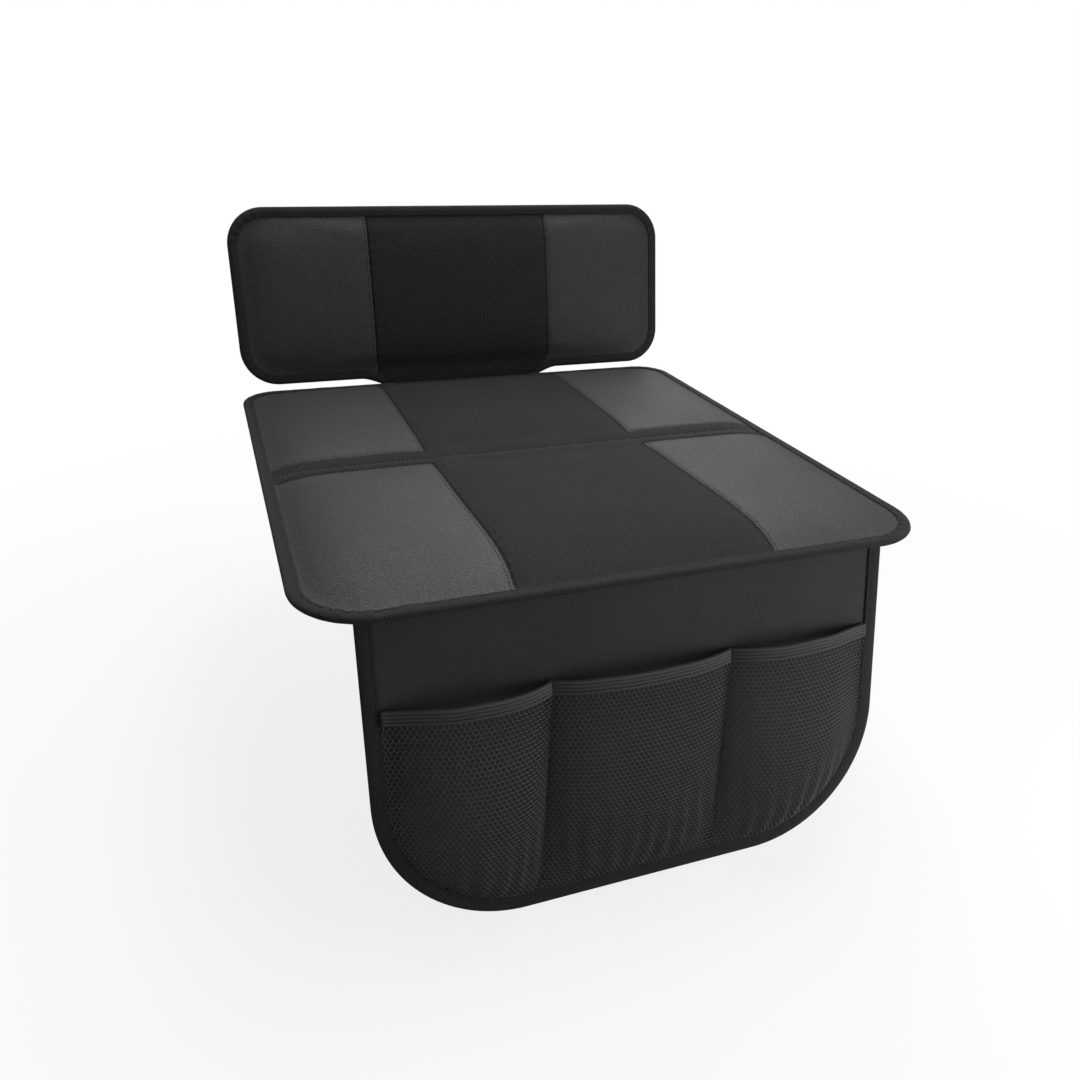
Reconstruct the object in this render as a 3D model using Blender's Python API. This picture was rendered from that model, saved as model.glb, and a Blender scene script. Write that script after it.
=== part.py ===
"""Car seat protector: a padded seat pad, a low padded back and a skirt with three net pockets.

It is modelled as it lies on a car seat: the seat pad flat, the back leaning against the backrest
and the skirt hanging over the front edge. The origin is the middle of the seat pad's underside,
X runs across the seat, Y towards the backrest and Z up.
"""

import math

import bmesh
import bpy
from mathutils import Matrix

# Pads, in metres.
SEAT_WIDTH = 0.460
SEAT_DEPTH = 0.470
SEAT_FRONT_CORNER = 0.050
SEAT_REAR_CORNER = 0.034
BACK_WIDTH = 0.458
BACK_HEIGHT = 0.170
BACK_CORNER = 0.036
BACK_RISE = 0.0082
BACK_SHIFT_X = 0.003
LEAN = math.radians(11.1)

# Layers of a pad, from the lining up.
LINING = 0.0006
FOAM_RIM = 0.0009
FACE = 0.0008
GAP = 0.0003
SEAT_CROWN = 0.0105
BACK_CROWN = 0.0095

# Binding tape round the pads and the skirt.
TAPE = 0.0008
PAD_TAPE_WIDTH = 0.0095
SKIRT_TAPE_WIDTH = 0.0110

# Middle panel, the fold across the seat and the strip of fabric over it.
MIDDLE_PANEL_WIDTH = 0.188
FOLD_GROOVE = 0.005
FOLD_STRIP_FRONT = 0.014
FOLD_STRIP_REAR = 0.016
SEAM_DIP = 0.14
CROWN_START = 0.002
CROWN_REACH = 0.013
SEAT_FRONT_REACH = 0.026

# Strip that joins the back to the seat.
HINGE_WIDTH = 0.150
HINGE_BEND = 0.003

# Skirt and its pockets.
SKIRT_WIDTH = 0.382
SKIRT_HEIGHT = 0.2275
SKIRT_CORNER = 0.101
SKIRT_SET_BACK = 0.0115
SKIRT_SHIFT_X = -0.004
SKIRT_CLOTH = 0.0010
SKIRT_FLANGE = 0.020
SKIRT_BEND = 0.0025
POCKET_TOP = 0.060
POCKET_TAPE_WIDTH = 0.010
DIVIDER = 0.067
DIVIDER_DRIFT = 0.013
NET = 0.0008
NET_PITCH = 0.0210
NET_CORD = 0.0026
# Each pocket stands open by its first value at the mouth and by its second lower down.
POCKET_BULGE = {"left": (0.017, 0.030), "middle": (0.013, 0.020), "right": (0.013, 0.027)}

RIM = LINING + GAP + FOAM_RIM + GAP + FACE
EDGE = TAPE + GAP


def clear_scene():
    for obj in list(bpy.data.objects):
        bpy.data.objects.remove(obj, do_unlink=True)
    for collection in list(bpy.data.collections):
        bpy.data.collections.remove(collection)


def new_collection(name):
    collection = bpy.data.collections.new(name)
    bpy.context.scene.collection.children.link(collection)
    return collection


def material(name, colour, roughness):
    made = bpy.data.materials.new(name)
    made.use_nodes = True
    shader = made.node_tree.nodes["Principled BSDF"]
    shader.inputs["Base Color"].default_value = (*colour, 1.0)
    shader.inputs["Roughness"].default_value = roughness
    made.diffuse_color = (*colour, 1.0)
    return made


clear_scene()
PART = new_collection("car_seat_protector")
CUTTERS = new_collection("cutters")
CUTTERS.hide_render = True

LEATHER = material("grained_leatherette", (0.060, 0.061, 0.058), 0.52)
FABRIC = material("middle_fabric", (0.026, 0.026, 0.028), 0.85)
BINDING = material("binding_tape", (0.024, 0.024, 0.021), 0.80)
LINING_CLOTH = material("lining_cloth", (0.020, 0.020, 0.021), 0.90)
FOAM = material("foam", (0.30, 0.30, 0.28), 0.95)
SKIRT_FABRIC = material("skirt_twill", (0.026, 0.026, 0.024), 0.80)
NET_CORDS = material("pocket_net", (0.018, 0.018, 0.018), 0.70)
ELASTIC = material("pocket_elastic", (0.048, 0.050, 0.045), 0.80)


def swell(distance, reach):
    """How far a filled pad has risen at this distance from its edge, from 0 to 1."""
    return 1.0 - math.exp(-max(distance, 0.0) / reach)


def edge_room(x, y, half_width, half_depth, radius):
    """Room across and room along from a point to the edge of a rounded rectangle round the origin."""
    across = max(abs(x) - (half_width - radius), 0.0)
    along = max(abs(y) - (half_depth - radius), 0.0)
    side = half_width - radius + math.sqrt(max(radius**2 - along**2, 0.0)) - abs(x)
    end = half_depth - radius + math.sqrt(max(radius**2 - across**2, 0.0)) - abs(y)
    return side - CROWN_START, end - CROWN_START


def smooth(value):
    value = min(max(value, 0.0), 1.0)
    return value * value * (3.0 - 2.0 * value)


def rounded_outline(left, right, bottom, top, corners, steps=8):
    """Points round a rectangle whose corners, from bottom left anticlockwise, have these radii."""
    centres = ((left, bottom, 1, 1), (right, bottom, -1, 1), (right, top, -1, -1), (left, top, 1, -1))
    points = []
    for quarter, ((x, y, inward_x, inward_y), radius) in enumerate(zip(centres, corners)):
        if radius <= 0.0:
            points.append((x, y))
            continue
        start = math.pi + quarter * math.pi / 2
        for step in range(steps + 1):
            angle = start + step * math.pi / (2 * steps)
            points.append(
                (
                    x + inward_x * radius + radius * math.cos(angle),
                    y + inward_y * radius + radius * math.sin(angle),
                )
            )
    return points


def mesh_object(name, mesh, collection, look=None):
    obj = bpy.data.objects.new(name, mesh)
    collection.objects.link(obj)
    if look:
        mesh.materials.clear()
        mesh.materials.append(look)
    if collection is CUTTERS:
        obj.hide_render = True
        obj.display_type = "WIRE"
    return obj


def welded(mesh):
    shape = bmesh.new()
    shape.from_mesh(mesh)
    bmesh.ops.remove_doubles(shape, verts=shape.verts, dist=0.00001)
    bmesh.ops.recalc_face_normals(shape, faces=shape.faces)
    shape.to_mesh(mesh)
    shape.free()
    return mesh


def slab(name, outlines, low, high, collection, look=None, edge_radius=0.0):
    """A flat outline, with holes if more outlines follow, as a 2D curve made solid from low to high."""
    curve = bpy.data.curves.new(name, "CURVE")
    curve.dimensions = "2D"
    curve.fill_mode = "BOTH"
    curve.resolution_u = 1
    for points in outlines:
        spline = curve.splines.new("POLY")
        spline.points.add(len(points) - 1)
        for point, (x, y) in zip(spline.points, points):
            point.co = (x, y, 0.0, 1.0)
        spline.use_cyclic_u = True
    curve.extrude = (high - low) / 2 - edge_radius
    curve.bevel_depth = edge_radius
    curve.bevel_resolution = 2 if edge_radius else 0
    curve.offset = -edge_radius
    holder = bpy.data.objects.new(name + "_outline", curve)
    bpy.context.scene.collection.objects.link(holder)
    bpy.context.view_layer.update()
    evaluated = holder.evaluated_get(bpy.context.evaluated_depsgraph_get())
    mesh = bpy.data.meshes.new_from_object(evaluated)
    bpy.data.objects.remove(holder, do_unlink=True)
    mesh.name = name
    mesh.transform(Matrix.Translation((0.0, 0.0, (low + high) / 2)))
    return mesh_object(name, welded(mesh), collection, look)


def ruled_grid(columns, rows):
    shape = bmesh.new()
    bmesh.ops.create_grid(shape, x_segments=len(columns) - 1, y_segments=len(rows) - 1, size=0.5)
    for vertex in shape.verts:
        column = round((vertex.co.x + 0.5) * (len(columns) - 1))
        row = round((vertex.co.y + 0.5) * (len(rows) - 1))
        vertex.co.xy = (columns[column], rows[row])
    return shape


def finished(name, shape, collection, look):
    bmesh.ops.recalc_face_normals(shape, faces=shape.faces)
    mesh = bpy.data.meshes.new(name)
    shape.to_mesh(mesh)
    shape.free()
    return mesh_object(name, mesh, collection, look)


def with_limits(lines, limits):
    """Grid lines with these limits among them. A line that lies close to a limit gives way to it."""
    far = [line for line in lines if all(abs(line - limit) > 0.0015 for limit in limits)]
    return sorted([*far, *limits])


def in_boxes(centre, boxes):
    return any(box[0] < centre.x < box[1] and box[2] < centre.y < box[3] for box in boxes)


def sheet_block(name, columns, rows, low, high, collection, look=None, boxes=()):
    """A closed sheet over a grid of columns and rows, from the height low(x, y) to high(x, y).

    Where boxes are given, as left, right, bottom and top, it covers only them.
    """
    shape = ruled_grid(columns, rows)
    if boxes:
        outside = [face for face in shape.faces if not in_boxes(face.calc_center_median(), boxes)]
        bmesh.ops.delete(shape, geom=outside, context="FACES")
    raised = bmesh.ops.extrude_face_region(shape, geom=shape.faces[:], use_keep_orig=True)
    upper = {item for item in raised["geom"] if isinstance(item, bmesh.types.BMVert)}
    for vertex in shape.verts:
        height = high if vertex in upper else low
        vertex.co.z = height(vertex.co.x, vertex.co.y)
    return finished(name, shape, collection, look)


def flat_based_block(name, columns, rows, base, high, collection, look=None):
    """A closed block over a grid, flat below at the height base and shaped above by high(x, y)."""
    shape = ruled_grid(columns, rows)
    for vertex in shape.verts:
        vertex.co.z = high(vertex.co.x, vertex.co.y)
    border = [edge for edge in shape.edges if edge.is_boundary]
    sides = bmesh.ops.extrude_edge_only(shape, edges=border)["geom"]
    for item in sides:
        if isinstance(item, bmesh.types.BMVert):
            item.co.z = base
    rim = [item for item in sides if isinstance(item, bmesh.types.BMEdge) and item.is_boundary]
    bmesh.ops.contextual_create(shape, geom=rim)
    return finished(name, shape, collection, look)


def boolean(obj, operation, cutter):
    step = obj.modifiers.new(cutter.name, "BOOLEAN")
    step.operation = operation
    step.solver = "EXACT"
    step.object = cutter


def ruled(start, end, offsets):
    """Grid lines from start to end, close together near both ends."""
    lines = {start, end}
    for offset in offsets:
        if start + offset < end - offset:
            lines |= {start + offset, end - offset}
    return sorted(lines)


def place(obj, matrix):
    obj.matrix_world = matrix
    return obj


def tape_ring(name, outline, thickness, width, look, matrix, extra=()):
    """Tape folded over an edge: a rounded slab with its middle and the slot for the edge cut out."""
    mid = thickness / 2
    half = mid + EDGE
    ring = slab(name, [outline(0.0)], mid - half, mid + half, PART, look, edge_radius=half * 0.75)
    middle = slab(name + "_middle", [outline(width)], mid - 0.01, mid + 0.01, CUTTERS)
    slot = slab(name + "_slot", [outline(TAPE)], mid - half + TAPE, mid + half - TAPE, CUTTERS)
    for cutter in (middle, slot, *extra):
        boolean(ring, "DIFFERENCE", cutter)
        place(cutter, matrix)
    return place(ring, matrix)


FLAT = Matrix.Identity(4)
UPRIGHT = Matrix.Rotation(math.pi / 2 - LEAN, 4, "X")
SEAM_LEFT = -MIDDLE_PANEL_WIDTH / 2
SEAM_RIGHT = MIDDLE_PANEL_WIDTH / 2


def seam_valley(x):
    """The pads pull in along the two seams beside the middle panel."""
    near = max(math.exp(-(((x - seam) / 0.007) ** 2)) for seam in (SEAM_LEFT, SEAM_RIGHT))
    return 1.0 - SEAM_DIP * near


EDGE_OFFSETS = (CROWN_START, 0.006, 0.011, 0.017, 0.025, 0.040, 0.075)


def pad_columns(width):
    edge = width / 2 - PAD_TAPE_WIDTH
    lines = set(ruled(-edge, edge, EDGE_OFFSETS))
    lines |= {-width / 2 - 0.002, width / 2 + 0.002, 0.0}
    for seam in (SEAM_LEFT, SEAM_RIGHT):
        lines |= {seam - 0.010, seam, seam + 0.010}
    return thinned(lines)


def thinned(lines):
    """Sorted grid lines, without those that lie closer than 1.5 mm to the one before."""
    kept = []
    for line in sorted(lines):
        if not kept or line - kept[-1] > 0.0015:
            kept.append(line)
    return kept


def seat_outline(inset):
    front = max(SEAT_FRONT_CORNER - inset, 0.002)
    rear = max(SEAT_REAR_CORNER - inset, 0.002)
    half_width = SEAT_WIDTH / 2 - inset
    half_depth = SEAT_DEPTH / 2 - inset
    return rounded_outline(-half_width, half_width, -half_depth, half_depth, (front, front, rear, rear))


def seat_foam_top(x, y):
    corner = (SEAT_FRONT_CORNER if y < 0 else SEAT_REAR_CORNER) - PAD_TAPE_WIDTH
    half_width = SEAT_WIDTH / 2 - PAD_TAPE_WIDTH
    half_depth = SEAT_DEPTH / 2 - PAD_TAPE_WIDTH
    side, end = edge_room(x, y, half_width, half_depth, corner)
    end_reach = SEAT_FRONT_REACH if y < 0 else CROWN_REACH
    rise = swell(side, CROWN_REACH) * swell(end, end_reach) * swell(abs(y) - FOLD_GROOVE, CROWN_REACH)
    return LINING + GAP + FOAM_RIM + SEAT_CROWN * rise * seam_valley(x)


def seat_face_low(x, y):
    """The face rides on the foam and dips to the lining at the fold, where it is sewn through."""
    dip = 1.0 - smooth(abs(y) / FOLD_GROOVE)
    return seat_foam_top(x, y) + GAP - dip * (FOAM_RIM + GAP)


def seat_rows():
    edge = SEAT_DEPTH / 2 - PAD_TAPE_WIDTH
    lines = {-SEAT_DEPTH / 2 - 0.002, SEAT_DEPTH / 2 + 0.002, 0.0}
    for end in (-1, 1):
        near = ruled(FOLD_GROOVE, edge, EDGE_OFFSETS)
        lines |= {end * line for line in near} | {end * 0.0030}
    lines |= {-FOLD_STRIP_FRONT, FOLD_STRIP_REAR}
    return thinned(lines)


SEAT_COLUMNS = pad_columns(SEAT_WIDTH)
SEAT_ROWS = seat_rows()
seat_edge = slab("seat_edge", [seat_outline(EDGE)], -0.01, 0.05, CUTTERS)


def cut_to(layer, edge, matrix=FLAT):
    """Trims a layer to the edge of its pad."""
    place(layer, matrix)
    boolean(layer, "INTERSECT", edge)
    return layer


def seat_face(name, look, boxes):
    across = {side for box in boxes for side in box[:2] if abs(side) < FAR_X}
    along = {end for box in boxes for end in box[2:] if abs(end) < FAR_Y}
    layer = sheet_block(
        name,
        with_limits(SEAT_COLUMNS, across),
        with_limits(SEAT_ROWS, along),
        seat_face_low,
        seat_face_high,
        PART,
        look,
        boxes,
    )
    return cut_to(layer, seat_edge)


def box_outline(left, right, bottom, top):
    return [(left, bottom), (right, bottom), (right, top), (left, top)]


FAR_X = SEAT_WIDTH
FAR_Y = SEAT_DEPTH
NEAR_SEAM = GAP / 2

slab("seat_lining", [seat_outline(EDGE)], 0.0, LINING, PART, LINING_CLOTH)

for foam_name, foam_rows in (
    ("front_foam", [row for row in SEAT_ROWS if row <= -FOLD_GROOVE]),
    ("rear_foam", [row for row in SEAT_ROWS if row >= FOLD_GROOVE]),
):
    foam = flat_based_block(
        foam_name, SEAT_COLUMNS, foam_rows, LINING + GAP, seat_foam_top, PART, FOAM
    )
    cut_to(foam, seat_edge)


def seat_face_high(x, y):
    return seat_face_low(x, y) + FACE


SIDES = {
    "left": (-FAR_X, SEAM_LEFT - NEAR_SEAM),
    "right": (SEAM_RIGHT + NEAR_SEAM, FAR_X),
}
for side_name, (side_left, side_right) in SIDES.items():
    for end_name, end_front, end_rear in (
        ("front", -FAR_Y, -FOLD_STRIP_FRONT - NEAR_SEAM),
        ("rear", FOLD_STRIP_REAR + NEAR_SEAM, FAR_Y),
    ):
        seat_face(
            f"{end_name}_{side_name}_panel",
            LEATHER,
            [(side_left, side_right, end_front, end_rear)],
        )

down_the_middle = (SEAM_LEFT + NEAR_SEAM, SEAM_RIGHT - NEAR_SEAM, -FAR_Y, FAR_Y)
across_the_fold = (-FAR_X, FAR_X, -FOLD_STRIP_FRONT + NEAR_SEAM, FOLD_STRIP_REAR - NEAR_SEAM)
seat_face("seat_middle_panel", FABRIC, [down_the_middle, across_the_fold])

seat_neck = slab(
    "seat_neck",
    [box_outline(-HINGE_WIDTH / 2 - GAP, HINGE_WIDTH / 2 + GAP, 0.0, FAR_Y)],
    -0.02,
    0.02,
    CUTTERS,
)
tape_ring("seat_binding", seat_outline, RIM, PAD_TAPE_WIDTH, BINDING, FLAT, extra=(seat_neck,))

# The back pad is built flat, with its bottom edge on the X axis, then stood up and leaned back.
# The hinge strip leaves the seat's rear edge flat, bends up and runs straight into the back.
BEND_ANGLE = math.pi / 2 - LEAN
strip_end_z = BACK_RISE + TAPE * math.cos(LEAN) + RIM / 2 * math.sin(LEAN)
strip_straight = (strip_end_z - RIM / 2 - HINGE_BEND * (1 - math.cos(BEND_ANGLE))) / math.cos(LEAN)
strip_start_y = SEAT_DEPTH / 2 - TAPE
strip_end_y = (
    strip_start_y
    + 0.0005
    + HINGE_BEND * math.sin(BEND_ANGLE)
    + strip_straight * math.sin(LEAN)
)
BACK_Y = strip_end_y - TAPE * math.sin(LEAN) + RIM / 2 * math.cos(LEAN)
BACK_PLACE = Matrix.Translation((BACK_SHIFT_X, BACK_Y, BACK_RISE)) @ UPRIGHT


def bent_strip_profile():
    """Side view of the strip, as (y, z) points: lower face out, upper face back."""
    outer = []
    inner = []
    steps = 6
    centre_y = strip_start_y + 0.0005
    centre_z = RIM / 2 + HINGE_BEND
    outer.append((strip_start_y, 0.0))
    inner.append((strip_start_y, RIM))
    for step in range(steps + 1):
        angle = -math.pi / 2 + BEND_ANGLE * step / steps
        for radius, points in ((HINGE_BEND + RIM / 2, outer), (HINGE_BEND - RIM / 2, inner)):
            points.append((centre_y + radius * math.cos(angle), centre_z + radius * math.sin(angle)))
    for points, side in ((outer, 1), (inner, -1)):
        points.append(
            (
                strip_end_y + side * RIM / 2 * math.cos(LEAN),
                strip_end_z - side * RIM / 2 * math.sin(LEAN),
            )
        )
    return outer + inner[::-1]


# A profile drawn in the side view stands on its edge: its x becomes Y and its y becomes Z.
SIDE_VIEW = Matrix(((0, 0, 1, 0), (1, 0, 0, 0), (0, 1, 0, 0), (0, 0, 0, 1)))
place(
    slab("hinge_strip", [bent_strip_profile()], -HINGE_WIDTH / 2, HINGE_WIDTH / 2, PART, FABRIC),
    SIDE_VIEW,
)


def back_outline(inset):
    radius = max(BACK_CORNER - inset, 0.002)
    half = BACK_WIDTH / 2 - inset
    return rounded_outline(-half, half, inset, BACK_HEIGHT - inset, (radius,) * 4)


def back_foam_top(x, y):
    half_width = BACK_WIDTH / 2 - PAD_TAPE_WIDTH
    half_height = BACK_HEIGHT / 2 - PAD_TAPE_WIDTH
    side, end = edge_room(x, y - BACK_HEIGHT / 2, half_width, half_height, BACK_CORNER - PAD_TAPE_WIDTH)
    rise = swell(side, CROWN_REACH) * swell(end, CROWN_REACH)
    return LINING + GAP + FOAM_RIM + BACK_CROWN * rise * seam_valley(x)


def back_face_low(x, y):
    return back_foam_top(x, y) + GAP


def back_face_high(x, y):
    return back_face_low(x, y) + FACE


BACK_COLUMNS = pad_columns(BACK_WIDTH)
BACK_ROWS = thinned(
    {-0.002, BACK_HEIGHT + 0.002}
    | set(
        ruled(
            PAD_TAPE_WIDTH,
            BACK_HEIGHT - PAD_TAPE_WIDTH,
            EDGE_OFFSETS,
        )
    )
)
back_edge = place(slab("back_edge", [back_outline(EDGE)], -0.01, 0.05, CUTTERS), BACK_PLACE)


def back_face(name, look, left, right):
    seams = [side for side in (left, right) if abs(side) < FAR_X]
    layer = sheet_block(
        name,
        with_limits(BACK_COLUMNS, seams),
        BACK_ROWS,
        back_face_low,
        back_face_high,
        PART,
        look,
        [(left, right, -FAR_Y, FAR_Y)],
    )
    return cut_to(layer, back_edge, BACK_PLACE)


place(slab("back_lining", [back_outline(EDGE)], 0.0, LINING, PART, LINING_CLOTH), BACK_PLACE)
back_foam = flat_based_block(
    "back_foam", BACK_COLUMNS, BACK_ROWS, LINING + GAP, back_foam_top, PART, FOAM
)
cut_to(back_foam, back_edge, BACK_PLACE)
back_face("back_left_panel", LEATHER, *SIDES["left"])
back_face("back_middle_panel", FABRIC, SEAM_LEFT + NEAR_SEAM, SEAM_RIGHT - NEAR_SEAM)
back_face("back_right_panel", LEATHER, *SIDES["right"])
back_neck = slab(
    "back_neck",
    [
        box_outline(
            -HINGE_WIDTH / 2 - BACK_SHIFT_X - GAP,
            HINGE_WIDTH / 2 - BACK_SHIFT_X + GAP,
            -0.02,
            BACK_HEIGHT / 2,
        )
    ],
    -0.02,
    0.02,
    CUTTERS,
)
tape_ring("back_binding", back_outline, RIM, PAD_TAPE_WIDTH, BINDING, BACK_PLACE, extra=(back_neck,))

# The skirt hangs from the underside of the seat. It is built flat, top edge on the X axis.
SKIRT_MID_BEND = SKIRT_BEND + SKIRT_CLOTH / 2
skirt_top_z = -GAP - SKIRT_CLOTH - SKIRT_BEND + SKIRT_MID_BEND * math.sin(LEAN)
SKIRT_PLACE = (
    Matrix.Translation((SKIRT_SHIFT_X, -SEAT_DEPTH / 2 + SKIRT_SET_BACK, skirt_top_z)) @ UPRIGHT
)


def skirt_profile():
    """Side view of the skirt cloth from its bottom edge to the flange sewn under the seat."""
    front = [(-SKIRT_HEIGHT - 0.01, SKIRT_CLOTH / 2)]
    rear = [(-SKIRT_HEIGHT - 0.01, -SKIRT_CLOTH / 2)]
    steps = 5
    turn = math.pi / 2 - LEAN
    for step in range(steps + 1):
        angle = turn * step / steps
        for radius, points in ((SKIRT_BEND + SKIRT_CLOTH, front), (SKIRT_BEND, rear)):
            points.append(
                (
                    radius * math.sin(angle),
                    -SKIRT_MID_BEND + radius * math.cos(angle),
                )
            )
    along = (math.cos(turn), -math.sin(turn))
    for points in (front, rear):
        up, out = points[-1]
        points.append((up + along[0] * SKIRT_FLANGE, out + along[1] * SKIRT_FLANGE))
    return front + rear[::-1]


skirt_panel = slab("skirt_panel", [skirt_profile()], -SKIRT_WIDTH, SKIRT_WIDTH, PART, SKIRT_FABRIC)
skirt_panel.data.transform(SIDE_VIEW)
place(skirt_panel, SKIRT_PLACE)
skirt_cut = slab(
    "skirt_cut",
    [
        rounded_outline(
            -SKIRT_WIDTH / 2 + EDGE,
            SKIRT_WIDTH / 2 - EDGE,
            -SKIRT_HEIGHT + EDGE,
            SKIRT_HEIGHT / 2,
            (SKIRT_CORNER - EDGE, SKIRT_CORNER - EDGE, 0.0, 0.0),
            steps=12,
        )
    ],
    -SKIRT_HEIGHT / 2,
    SKIRT_HEIGHT / 2,
    CUTTERS,
)
boolean(skirt_panel, "INTERSECT", place(skirt_cut, SKIRT_PLACE))


def skirt_tape_outline(inset):
    radius = SKIRT_CORNER - inset
    half = SKIRT_WIDTH / 2 - inset
    top = 0.02 if inset else 0.0
    return rounded_outline(-half, half, -SKIRT_HEIGHT + inset, top, (radius, radius, 0.0, 0.0), steps=12)


def skirt_tape():
    half = SKIRT_CLOTH / 2 + EDGE
    ring = slab(
        "skirt_binding", [skirt_tape_outline(0.0)], -half, half, PART, BINDING, edge_radius=half * 0.7
    )
    middle = slab("skirt_tape_middle", [skirt_tape_outline(SKIRT_TAPE_WIDTH)], -0.01, 0.01, CUTTERS)
    slot = slab("skirt_tape_slot", [skirt_tape_outline(TAPE)], -half + TAPE, half - TAPE, CUTTERS)
    for cutter in (middle, slot):
        boolean(ring, "DIFFERENCE", place(cutter, SKIRT_PLACE))
    return place(ring, SKIRT_PLACE)


skirt_tape()

# The pockets are nets over the lower skirt. Each stands away from it between its seams.
NET_BOTTOM = SKIRT_HEIGHT - SKIRT_TAPE_WIDTH - GAP
NET_HALF = SKIRT_WIDTH / 2 - SKIRT_TAPE_WIDTH - GAP
NET_CORNER = SKIRT_CORNER - SKIRT_TAPE_WIDTH - GAP
NET_LOW = SKIRT_CLOTH / 2 + GAP
TAPE_LIFT = TAPE + GAP


def divider_at(x, drop):
    """The seams between the pockets run straight down behind the tape, then drift sideways."""
    start = POCKET_TOP + POCKET_TAPE_WIDTH
    return x - DIVIDER_DRIFT * max(drop - start, 0.0) / (NET_BOTTOM - start)


def inside_outline(x, drop):
    """Distance in from the binding's inner edge."""
    across = abs(x) - (NET_HALF - NET_CORNER)
    down = drop - (NET_BOTTOM - NET_CORNER)
    if across > 0.0 and down > 0.0:
        return NET_CORNER - math.hypot(across, down)
    return NET_CORNER - max(across, down)


class Pocket:
    def __init__(self, name, left, right):
        self.name = name
        self.left = left
        self.right = right
        self.mouth, self.belly = POCKET_BULGE[name]

    def sides(self, drop):
        left = -NET_HALF if self.left is None else divider_at(self.left, drop) + NEAR_SEAM
        right = NET_HALF if self.right is None else divider_at(self.right, drop) - NEAR_SEAM
        return left, right

    def low(self, x, y):
        """Height of the net's rear face over the skirt's middle plane; level down the tape's width."""
        drop = max(-y, POCKET_TOP + POCKET_TAPE_WIDTH)
        left, right = self.sides(drop)
        reach = (right - left) * 0.22
        filled = swell(x - left, reach) * swell(right - x, reach) * swell(inside_outline(x, drop), 0.024)
        full = swell((right - left) / 2, reach) ** 2
        depth = self.mouth + (self.belly - self.mouth) * smooth((drop - POCKET_TOP) / 0.09)
        lift = TAPE_LIFT * (1.0 - smooth((drop - POCKET_TOP - POCKET_TAPE_WIDTH) / 0.016))
        return NET_LOW + lift + depth * filled / full

    def high(self, x, y):
        return self.low(x, y) + NET


POCKETS = (
    Pocket("left", None, -DIVIDER),
    Pocket("middle", -DIVIDER, DIVIDER),
    Pocket("right", DIVIDER, None),
)


def net_outline(pocket, top):
    """Outline of a net, from its top left corner down and round to its top right one."""
    drops = [top + (NET_BOTTOM - top) * step / 20 for step in range(21)]
    left_edge = []
    right_edge = []
    for drop in drops:
        left, right = pocket.sides(drop)
        down = drop - (NET_BOTTOM - NET_CORNER)
        if down > 0.0:
            curve = NET_HALF - NET_CORNER + math.sqrt(max(NET_CORNER**2 - down**2, 0.0))
            left = max(left, -curve)
            right = min(right, curve)
        left_edge.append((left + NEAR_SEAM, -drop))
        right_edge.append((right - NEAR_SEAM, -drop))
    return left_edge + right_edge[::-1]


def hexagon(x, y, radius):
    angles = [math.pi / 6 + math.pi / 3 * side for side in range(6)]
    return [(x + radius * math.cos(angle), y + radius * math.sin(angle)) for angle in angles]


def net_holes(pocket):
    """Six-sided gaps in staggered rows, kept off the edges of the net."""
    radius = (NET_PITCH - NET_CORD) / math.sqrt(3)
    row_step = NET_PITCH * math.sqrt(3) / 2
    holes = []
    rows = int((NET_BOTTOM - POCKET_TOP) / row_step)
    first = POCKET_TOP + POCKET_TAPE_WIDTH + radius + 0.002
    for row in range(rows):
        drop = first + row * row_step
        left, right = pocket.sides(drop)
        left = max(left, -NET_HALF)
        reach = int((right - left) / NET_PITCH)
        start = (left + right) / 2 + (NET_PITCH / 2 if row % 2 else 0.0)
        for column in range(-reach, reach + 1):
            x = start + column * NET_PITCH
            room = min(x - left, right - x, inside_outline(x, drop))
            if room > radius + 0.0025:
                holes.append(hexagon(x, -drop, radius))
    return holes


def net_columns(pocket):
    """Grid lines across the mouth, which the net and its tape share."""
    left, right = pocket.sides(POCKET_TOP)
    return [left + (right - left) * step / 10 for step in range(11)]


for pocket in POCKETS:
    columns = net_columns(pocket)
    wide_columns = [columns[0] - DIVIDER_DRIFT - 0.002, *columns, columns[-1] + 0.002]
    net_rows = [-NET_BOTTOM - 0.001]
    net_rows += [
        -POCKET_TOP - POCKET_TAPE_WIDTH - (NET_BOTTOM - POCKET_TOP - POCKET_TAPE_WIDTH) * step / 7
        for step in range(6, -1, -1)
    ]
    net_rows.append(-POCKET_TOP)
    net = sheet_block(
        "pocket_net_" + pocket.name, wide_columns, net_rows, pocket.low, pocket.high, PART, NET_CORDS
    )
    mesh_cut = slab(
        "pocket_net_cut_" + pocket.name,
        [net_outline(pocket, POCKET_TOP + TAPE + GAP), *net_holes(pocket)],
        -0.01,
        0.08,
        CUTTERS,
    )
    boolean(net, "INTERSECT", place(mesh_cut, SKIRT_PLACE))
    place(net, SKIRT_PLACE)

    tape = sheet_block(
        "pocket_tape_" + pocket.name,
        columns,
        [-POCKET_TOP - POCKET_TAPE_WIDTH, -POCKET_TOP],
        lambda x, y, p=pocket: p.low(x, y) - GAP - TAPE,
        lambda x, y, p=pocket: p.high(x, y) + GAP + TAPE,
        PART,
        ELASTIC,
    )
    slot = sheet_block(
        "pocket_tape_slot_" + pocket.name,
        [columns[0] - 0.01, *columns, columns[-1] + 0.01],
        [-POCKET_TOP - POCKET_TAPE_WIDTH - 0.005, -POCKET_TOP - TAPE],
        lambda x, y, p=pocket: p.low(x, -POCKET_TOP) - GAP,
        lambda x, y, p=pocket: p.high(x, -POCKET_TOP) + GAP,
        CUTTERS,
    )
    boolean(tape, "DIFFERENCE", place(slot, SKIRT_PLACE))
    place(tape, SKIRT_PLACE)
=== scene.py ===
import math

import bmesh
import bpy
from mathutils import Matrix, Vector, noise
from mathutils.bvhtree import BVHTree


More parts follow.
